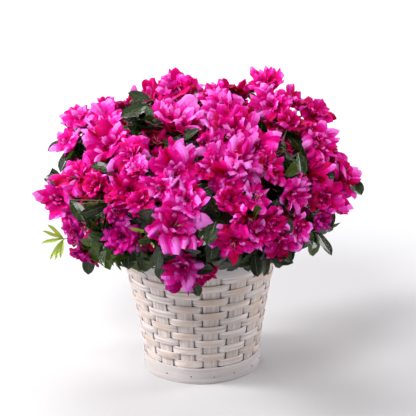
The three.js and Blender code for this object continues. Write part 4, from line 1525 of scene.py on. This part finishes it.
print("blooms:", len(blooms), "of them round the back:", len(blooms) - deeper)

# %% [markdown]
# ## The blooms' meshes
# Each mass gets its blooms as one mesh and their stamens as another. The large blooms that the camera
# sees get a finer grid than the others.

# %% Blooms, mass by mass
LARGE_RADIUS = 26 * MM
blooms_of = [[b for b in blooms if mass_of(b["centre"]) == m] for m in range(MASSES)]


def is_large(one):
    return one["radius"] > LARGE_RADIUS and one["centre"][1] < 0


for m in range(MASSES):
    petal_bundle, stamen_bundle = Bundle(), Bundle()
    large = [b for b in blooms_of[m] if is_large(b)]
    others = [b for b in blooms_of[m] if not is_large(b)]
    for kind, some, grids in (("large blooms", large, LARGE_GRIDS), ("small blooms", others, GRIDS)):
        if some:
            random = dealer(kind, m)
            stamen_set(stamen_bundle, *bloom_set(petal_bundle, some, grids, random), random)
    petal_bundle.piece(f"blooms_{m + 1:02d}", petals, "bloom", mass_node(m))
    if stamen_bundle.count:
        stamen_bundle.piece(f"stamens_{m + 1:02d}", stamen_tones, "bloom", mass_node(m))
print("large blooms:", sum(is_large(b) for b in blooms))

# %% [markdown]
# ## Leaf blades
# An azalea leaf is a pointed oval about 35 mm long, folded slightly along its paler rib and bent
# downwards at its tip. One blade is drawn on a small grid, and copied with its own length, width, bend,
# turn and green for each leaf.

# %% Leaf blades
LEAF_LENGTH = 34 * MM
LEAF_WIDTH = 16 * MM
SHOOT_NARROWNESS = 0.32
BLADE_ROWS = 8
BLADE_COLUMNS = np.array([-1, -0.55, -0.07, 0.07, 0.55, 1])
RIB_COLUMN = 2


def leaf_set(bundle, random, roots, ways, ups, lengths, tones):
    """Adds one leaf for each root, along its way, with its face towards up."""
    count = len(roots)

    def each(low, high):
        return random.uniform(low, high, (count, 1, 1))

    v = np.linspace(0, 1, BLADE_ROWS)[None, :, None]
    u = BLADE_COLUMNS[None, None, :]
    bend, fold, curl = each(0.05, 0.38), each(0.15, 0.5), each(-0.25, 0.25)
    half = LEAF_WIDTH / 2 / np.sqrt(LEAF_LENGTH * lengths)[:, None, None] * each(0.85, 1.2)
    half = half * np.where(tones == SHOOT, SHOOT_NARROWNESS, 1)[:, None, None]
    outline = np.maximum(np.sin(np.pi * v**1.15) ** 0.62, 0.08 * (1 - v))
    wave = 0.02 * np.sin(9 * v + 5 * curl) * np.abs(u)
    x = v - 0.12 * bend * v**2
    y = u * half * outline + 0.1 * curl * v**2
    z = np.abs(u) * half * outline * fold - bend * v**2 * 0.5 + wave
    local = np.stack([x + 0 * u, y, z], -1).reshape(count, -1, 3) * lengths[:, None, None]
    wide = unit_of(np.cross(ups, ways))
    frames = np.stack([ways, wide, np.cross(ways, wide)], 1)
    sheets = np.einsum("bpk,bkx->bpx", local, frames) + roots[:, None]
    rib = np.tile(np.arange(len(BLADE_COLUMNS) - 1) == RIB_COLUMN, BLADE_ROWS - 1)
    rib_tones = np.where(tones == SHOOT, SHOOT, RIB)
    face_tones = np.where(rib[None], rib_tones[:, None], tones[:, None])
    bundle.add(sheets, sheet_faces(BLADE_ROWS, len(BLADE_COLUMNS), False), face_tones)


def whorl(random, axis, count, lift_low, lift_high):
    """Ways, from a point on an axis, of leaves that stand round it by the golden turn."""
    side, other, _ = frames_of(axis[None], np.zeros(1))[0]
    turns = random.uniform(0, 2 * math.pi) + np.arange(count) * GOLDEN_TURN
    lifts = np.linspace(lift_low, lift_high, count)
    flat_ways = side * np.cos(turns)[:, None] + other * np.sin(turns)[:, None]
    return unit_of(flat_ways + axis * lifts[:, None])


print("leaf rule ready")

# %% [markdown]
# ## Leaves placed one by one
# Some leaves hang over the rim or stand out of the outline, and two fresh shoots with narrow pale leaves
# grow low on the left and in the middle. Each of these leaves is given by its root and its tip.

# %% Hung leaves and fresh shoots
HUNG_LEAVES = [
    # root and tip in mm
    ((88, -98, 180), (92, -94, 151)), ((52, -116, 179), (54, -120, 161)),
    ((-67, -120, 190), (-61, -112, 158)), ((-81, -110, 187), (-81, -118, 166)),
    ((-125, -80, 177), (-129, -85, 147)), ((-32, -115, 172), (-45, -112, 150)),
    ((-12, -112, 152), (-1, -112, 129)), ((-39, -118, 175), (-48, -116, 152)),
    ((-144, -100, 245), (-126, -120, 225)), ((-55, -40, 336), (-86, -60, 330)),
    ((-53, 0, 330), (-79, 0, 338)), ((178, 0, 228), (191, -10, 210)),
]
SHOOTS = [
    # root and tips in mm
    ((-156, -62, 184), [
        (-179, -72, 199), (-182, -70, 184), (-173, -74, 163),
        (-166, -77, 164), (-160, -80, 168), (-172, -66, 205),
    ]),
    ((-56, -138, 217), [
        (-50, -152, 238), (-66, -152, 208), (-78, -148, 228), (-50, -154, 206), (-62, -156, 230),
    ]),
]
PLACED_UP = VIEW_WAY + (0, 0, 0.9)


def placed_leaves(m):
    """Roots, tips and greens of the leaves of one mass that are placed one by one."""
    in_mm = [(root, tip, GREEN) for root, tip in HUNG_LEAVES]
    in_mm += [(root, tip, SHOOT) for root, tips in SHOOTS for tip in tips]
    placed = [(np.array(root) * MM, np.array(tip) * MM, tone) for root, tip, tone in in_mm]
    return [leaf for leaf in placed if mass_of(leaf[0]) == m]


print("placed leaves:", sum(len(placed_leaves(m)) for m in range(MASSES)))

# %% [markdown]
# ## Twigs
# A stem runs on from each bough's tip. Twigs fork from it to every bloom and rosette, and finer ones to
# the inner sprays, which close the crown behind the blooms and fill its leafy gaps. Each twig carries
# whorls of leaves near its end.

# %% Places of the inner sprays
INNER_SPRAYS = 460
SPRAY_OVER_RIM = 6 * MM


def gap_point(random, turn, polar, spread):
    """A place in a leafy gap, which is given in degrees."""
    off = random.normal(0, 0.4 * spread, 2)
    across = turn + off[1] / math.sin(math.radians(polar))
    return crown_point(math.radians(polar + off[0]), math.radians(across), random.uniform(0.84, 0.93))


def spray_points():
    random = dealer("sprays")
    made = []
    for i in range(INNER_SPRAYS):
        polar = polar_at((i + 0.5) / INNER_SPRAYS)
        turn = i * GOLDEN_TURN + random.uniform(-0.06, 0.06)
        share = random.uniform(0.66, 0.88) if i % 3 else random.uniform(0.56, 0.7)
        point = draped_point(polar, turn, share)
        if not inside_basket(point, SPRAY_OVER_RIM):
            made.append(point)
    for turn, polar, spread in SHOWN_GAPS:
        made += [gap_point(random, turn, polar, spread) for _ in range(1 + spread // 3)]
    return made


sprays = spray_points()
print("inner sprays:", len(sprays))

# %% [markdown]
# A twig is an arc from a fork on the stem to the neck of a bloom, a rosette or a spray. Its control
# points are only listed here, with the whorls that it carries, so that a whole mass is drawn at once.

# %% Twigs of one mass, and the whorls on them
BLOOM_NECK = BLOOM_DEPTH + 6 * MM
BLOOM_HEAD = BLOOM_DEPTH * 0.6
LEAFY_HEAD = 2 * MM
SPRAY_LENGTH = 12 * MM
TWIG_RADIUS = 1.25 * MM
FINE_TWIG_RADIUS = 0.8 * MM


def twig_plan(m, start, stem, random):
    """Control points and radii of the twigs, and for each whorl its foot, head, axis and leaves.

    start: where the stem starts; stem: the way to its tip.
    """
    stops, radii, whorls = [], [], []
    for s in [s for s in sites if s["mass"] == m and s["leafy"]] + blooms_of[m]:
        leafy, axis = s.get("leafy", False), s["axis"]
        neck = s["centre"] - axis * BLOOM_NECK
        head = s["centre"] - axis * (LEAFY_HEAD if leafy else BLOOM_HEAD)
        fork = start + stem * random.uniform(0.35, 1)
        stops.append([fork, fork + stem * 0.3, neck, head])
        radii.append(TWIG_RADIUS)
        if leafy:
            whorls.append((neck, head, axis, 9, -0.1, 0.9, 1.0))
            whorls.append((fork * 0.25 + neck * 0.75, neck, axis, 7, 0.0, 0.5, 1.05))
        else:
            whorls.append((neck, head, axis, 7, -0.15, 0.45, 1.0))
    for point in sprays:
        if mass_of(point) == m:
            axis = unit_of(crown_normal(point) + random.uniform(-0.5, 0.5, 3))
            fork = start + stem * random.uniform(0.2, 1)
            foot = point - axis * SPRAY_LENGTH
            stops.append([fork, fork + stem * 0.2, foot, point])
            radii.append(FINE_TWIG_RADIUS)
            whorls.append((foot, point, axis, random.integers(5, 8), 0.0, 0.8, 0.95))
    tip = start + stem
    for root, _, _ in placed_leaves(m):
        stops.append([tip, tip + stem * 0.2, root * 0.8 + tip * 0.2, root])
        radii.append(FINE_TWIG_RADIUS)
    return np.array(stops), np.array(radii), whorls


print("twig rule ready")

# %% [markdown]
# ## Leaves of the whorls
# Leaf tones go by spray, so that one twig's leaves look alike: mostly dark green, some olive, and more
# olive ones low on the left. A leaf is left out where it would stick into the basket, hang too low, stand
# out of the outline or lie in the funnel of a bloom.

# %% Leaves of the whorls
LOW_FRONT_LEFT = np.array([-40, -20, 215]) * MM
LOW_LEFT_GREENS = [GREEN, OLIVE, OLIVE, OLIVE]
USUAL_GREENS = [DARK, DARK, DARK, GREEN, GREEN, OLIVE]
LEAF_ROOM = 1 * MM
LOWEST_TIP = 118 * MM
FRONT_LOWEST_TIP = 155 * MM
FRONT_RIM = (95 * MM, -60 * MM)
LEAFY_TOP = 265 * MM
TOP_REACH = 0.97


def leaves_on(whorls, random):
    """Roots, ways, ups, lengths and greens of the leaves of some whorls."""
    leaves = []
    for foot, head, axis, count, low, high, size in whorls:
        ways = whorl(random, axis, count, low, high)
        roots = foot + (head - foot) * np.linspace(0.05, 0.85, count)[:, None]
        green = random.choice(LOW_LEFT_GREENS if (head < LOW_FRONT_LEFT).all() else USUAL_GREENS)
        lengths = LEAF_LENGTH * size * random.uniform(0.75, 1.15, count)
        ups = unit_of(np.tile(axis, (count, 1)) + random.uniform(-0.25, 0.25, (count, 3)))
        leaves.append((roots, ways, ups, lengths, np.full(count, green)))
    return [np.concatenate(parts) for parts in zip(*leaves)]


def in_a_funnel(points):
    """Whether each point lies in, or just over, the funnel of one of the blooms."""
    axes, radii, centres = (np.array([b[key] for b in blooms]) for key in ("axis", "radius", "centre"))
    out = points[:, None] - (centres - axes * (radii * FOOT_DEPTH)[:, None])[None]
    along = (out * axes).sum(-1) / radii
    off = np.linalg.norm(out - axes * (along * radii)[..., None], axis=-1) / radii
    return ((along > 0.2) & (along < 2.6) & (off < 0.2 + 0.85 * np.clip(along, 0, 1))).any(1)


def clear_leaves(roots, ways, lengths):
    """Which leaves keep clear of the basket, the blooms and the outline."""
    tips = roots + ways * lengths[:, None]
    over_front = (tips[:, 1] < FRONT_RIM[1]) & (np.abs(tips[:, 0]) < FRONT_RIM[0])
    low = tips[:, 2] < np.where(over_front, FRONT_LOWEST_TIP, LOWEST_TIP)
    clear = ~(inside_basket(tips, LEAF_ROOM) | inside_basket((tips + roots) / 2, LEAF_ROOM) | low)
    clear &= (tips[:, 2] < LEAFY_TOP) | (np.array([share_out(tip) for tip in tips]) < TOP_REACH)
    for share in (0.4, 0.7, 1.0):
        clear &= ~in_a_funnel(roots + ways * (lengths * share)[:, None])
    return clear


print("greens of a spray:", len(USUAL_GREENS))

# %% [markdown]
# Each mass now gets its twigs as one mesh and its leaves as another, because they have different
# finishes. Leaves that are placed one by one join those of the whorls.

# %% Leaves and twigs, mass by mass
STEM_RADII = np.array([2.6, 2.4, 2.2, 1.9]) * MM
STEM_SIDES = 7
TWIG_STEPS = 7
TWIG_SIDES = 5
TAPER = np.linspace(1.15, 0.7, TWIG_STEPS)

for m in range(MASSES):
    random = dealer("leaves", m)
    leaves, twigs = Bundle(), Bundle()
    start = crown_point(mass_polar[m], mass_turn[m], BOUGH_REACH)
    tip = crown_point(mass_polar[m], mass_turn[m], STEM_REACH)
    stem = tubes(np.linspace(start, tip, len(STEM_RADII))[None], STEM_RADII, STEM_SIDES)
    twigs.add(stem, sheet_faces(len(STEM_RADII), STEM_SIDES, True), 0)
    stops, radii, whorls = twig_plan(m, start, tip - start, random)
    forked = tubes(arc(stops, TWIG_STEPS), radii[:, None] * TAPER, TWIG_SIDES)
    twigs.add(forked, sheet_faces(TWIG_STEPS, TWIG_SIDES, True), 0)
    grown = leaves_on(whorls, random)
    keep = clear_leaves(grown[0], grown[1], grown[3])
    leaf_set(leaves, random, *(part[keep] for part in grown))
    placed = placed_leaves(m)
    if placed:
        roots, tips, tones = (np.array(part) for part in zip(*placed))
        ways, lengths = unit_of(tips - roots), np.linalg.norm(tips - roots, axis=1)
        leaf_set(leaves, random, roots, ways, np.tile(PLACED_UP, (len(roots), 1)), lengths, tones)
    leaves.piece(f"leaves_{m + 1:02d}", leaf_greens, "bloom", mass_node(m))
    twigs.piece(f"twigs_{m + 1:02d}", [twig_bark.made], "bark", mass_node(m))
print("leaf and twig meshes:", 2 * MASSES)

# %% [markdown]
# ## Floor
# The floor is pale, and glows a little more with the distance, so that it fades into a bright room.

# %% Floor
FLOOR_SIZE = 60
FLOOR_DROP = 0.2 * MM
clear_selection()
bpy.ops.mesh.primitive_plane_add(size=FLOOR_SIZE, location=(0, 0, -FLOOR_DROP))
floor = named("floor")
pale = Finish("pale_floor", (0.47, 0.47, 0.48), 0.6, Emission_Strength=1.0)
spot = pale.place()
away = spot.node("ShaderNodeVectorMath", {"operation": "LENGTH"}, {0: spot}, output=1)
pale.feed(Emission_Color=mask(away * 0.2, (0.08, 0), (0.3, 0.5), (0.8, 0.9)))
floor.data.materials.append(pale.made)
print("floor:", FLOOR_SIZE, "m wide")

# %% [markdown]
# ## Lights
# Four large soft lights: a strong one from the left, one from above on the left of the camera, a weaker
# one from the right, and one from behind and above that lights the petals' rims.

# %% Lights
LIGHT_TARGET = (0, 0, 0.2)
LIGHTS = [
    # name, place in metres, size, power, colour
    ("left_light", (-2.0, 0.1, 1.5), 0.7, 75, (1.0, 0.99, 0.98)),
    ("top_light", (-0.6, -1.4, 2.1), 0.8, 44, (1.0, 0.99, 0.98)),
    ("room_light", (2.1, 0.5, 1.1), 1.0, 40, (1.0, 0.98, 0.97)),
    ("back_light", (-0.3, 1.6, 1.9), 1.2, 40, (1.0, 1.0, 1.0)),
]
for name, place, size, power, colour in LIGHTS:
    lamp = bpy.data.lights.new(name, "AREA")
    lamp.shape = "DISK"
    lamp.size = size
    lamp.energy = power
    lamp.color = colour
    made = put_in_scene(name, lamp)
    made.location = place
    made.rotation_euler = (Vector(LIGHT_TARGET) - Vector(place)).to_track_quat("-Z", "Y").to_euler()
print("lights:", [light[0] for light in LIGHTS])

# %% [markdown]
# A faint, slightly blue light from all sides keeps the shadows soft. The standard view shows the
# finishes in the colours that they were given.

# %% Room
ROOM_COLOUR = (0.95, 0.96, 1.0, 1)
ROOM_STRENGTH = 0.15
world = bpy.data.worlds.new("pale_room")
bpy.context.scene.world = world
world.use_nodes = True
background = world.node_tree.nodes["Background"]
background.inputs["Color"].default_value = ROOM_COLOUR
background.inputs["Strength"].default_value = ROOM_STRENGTH
bpy.context.scene.view_settings.view_transform = "Standard"
print("room light:", ROOM_STRENGTH)
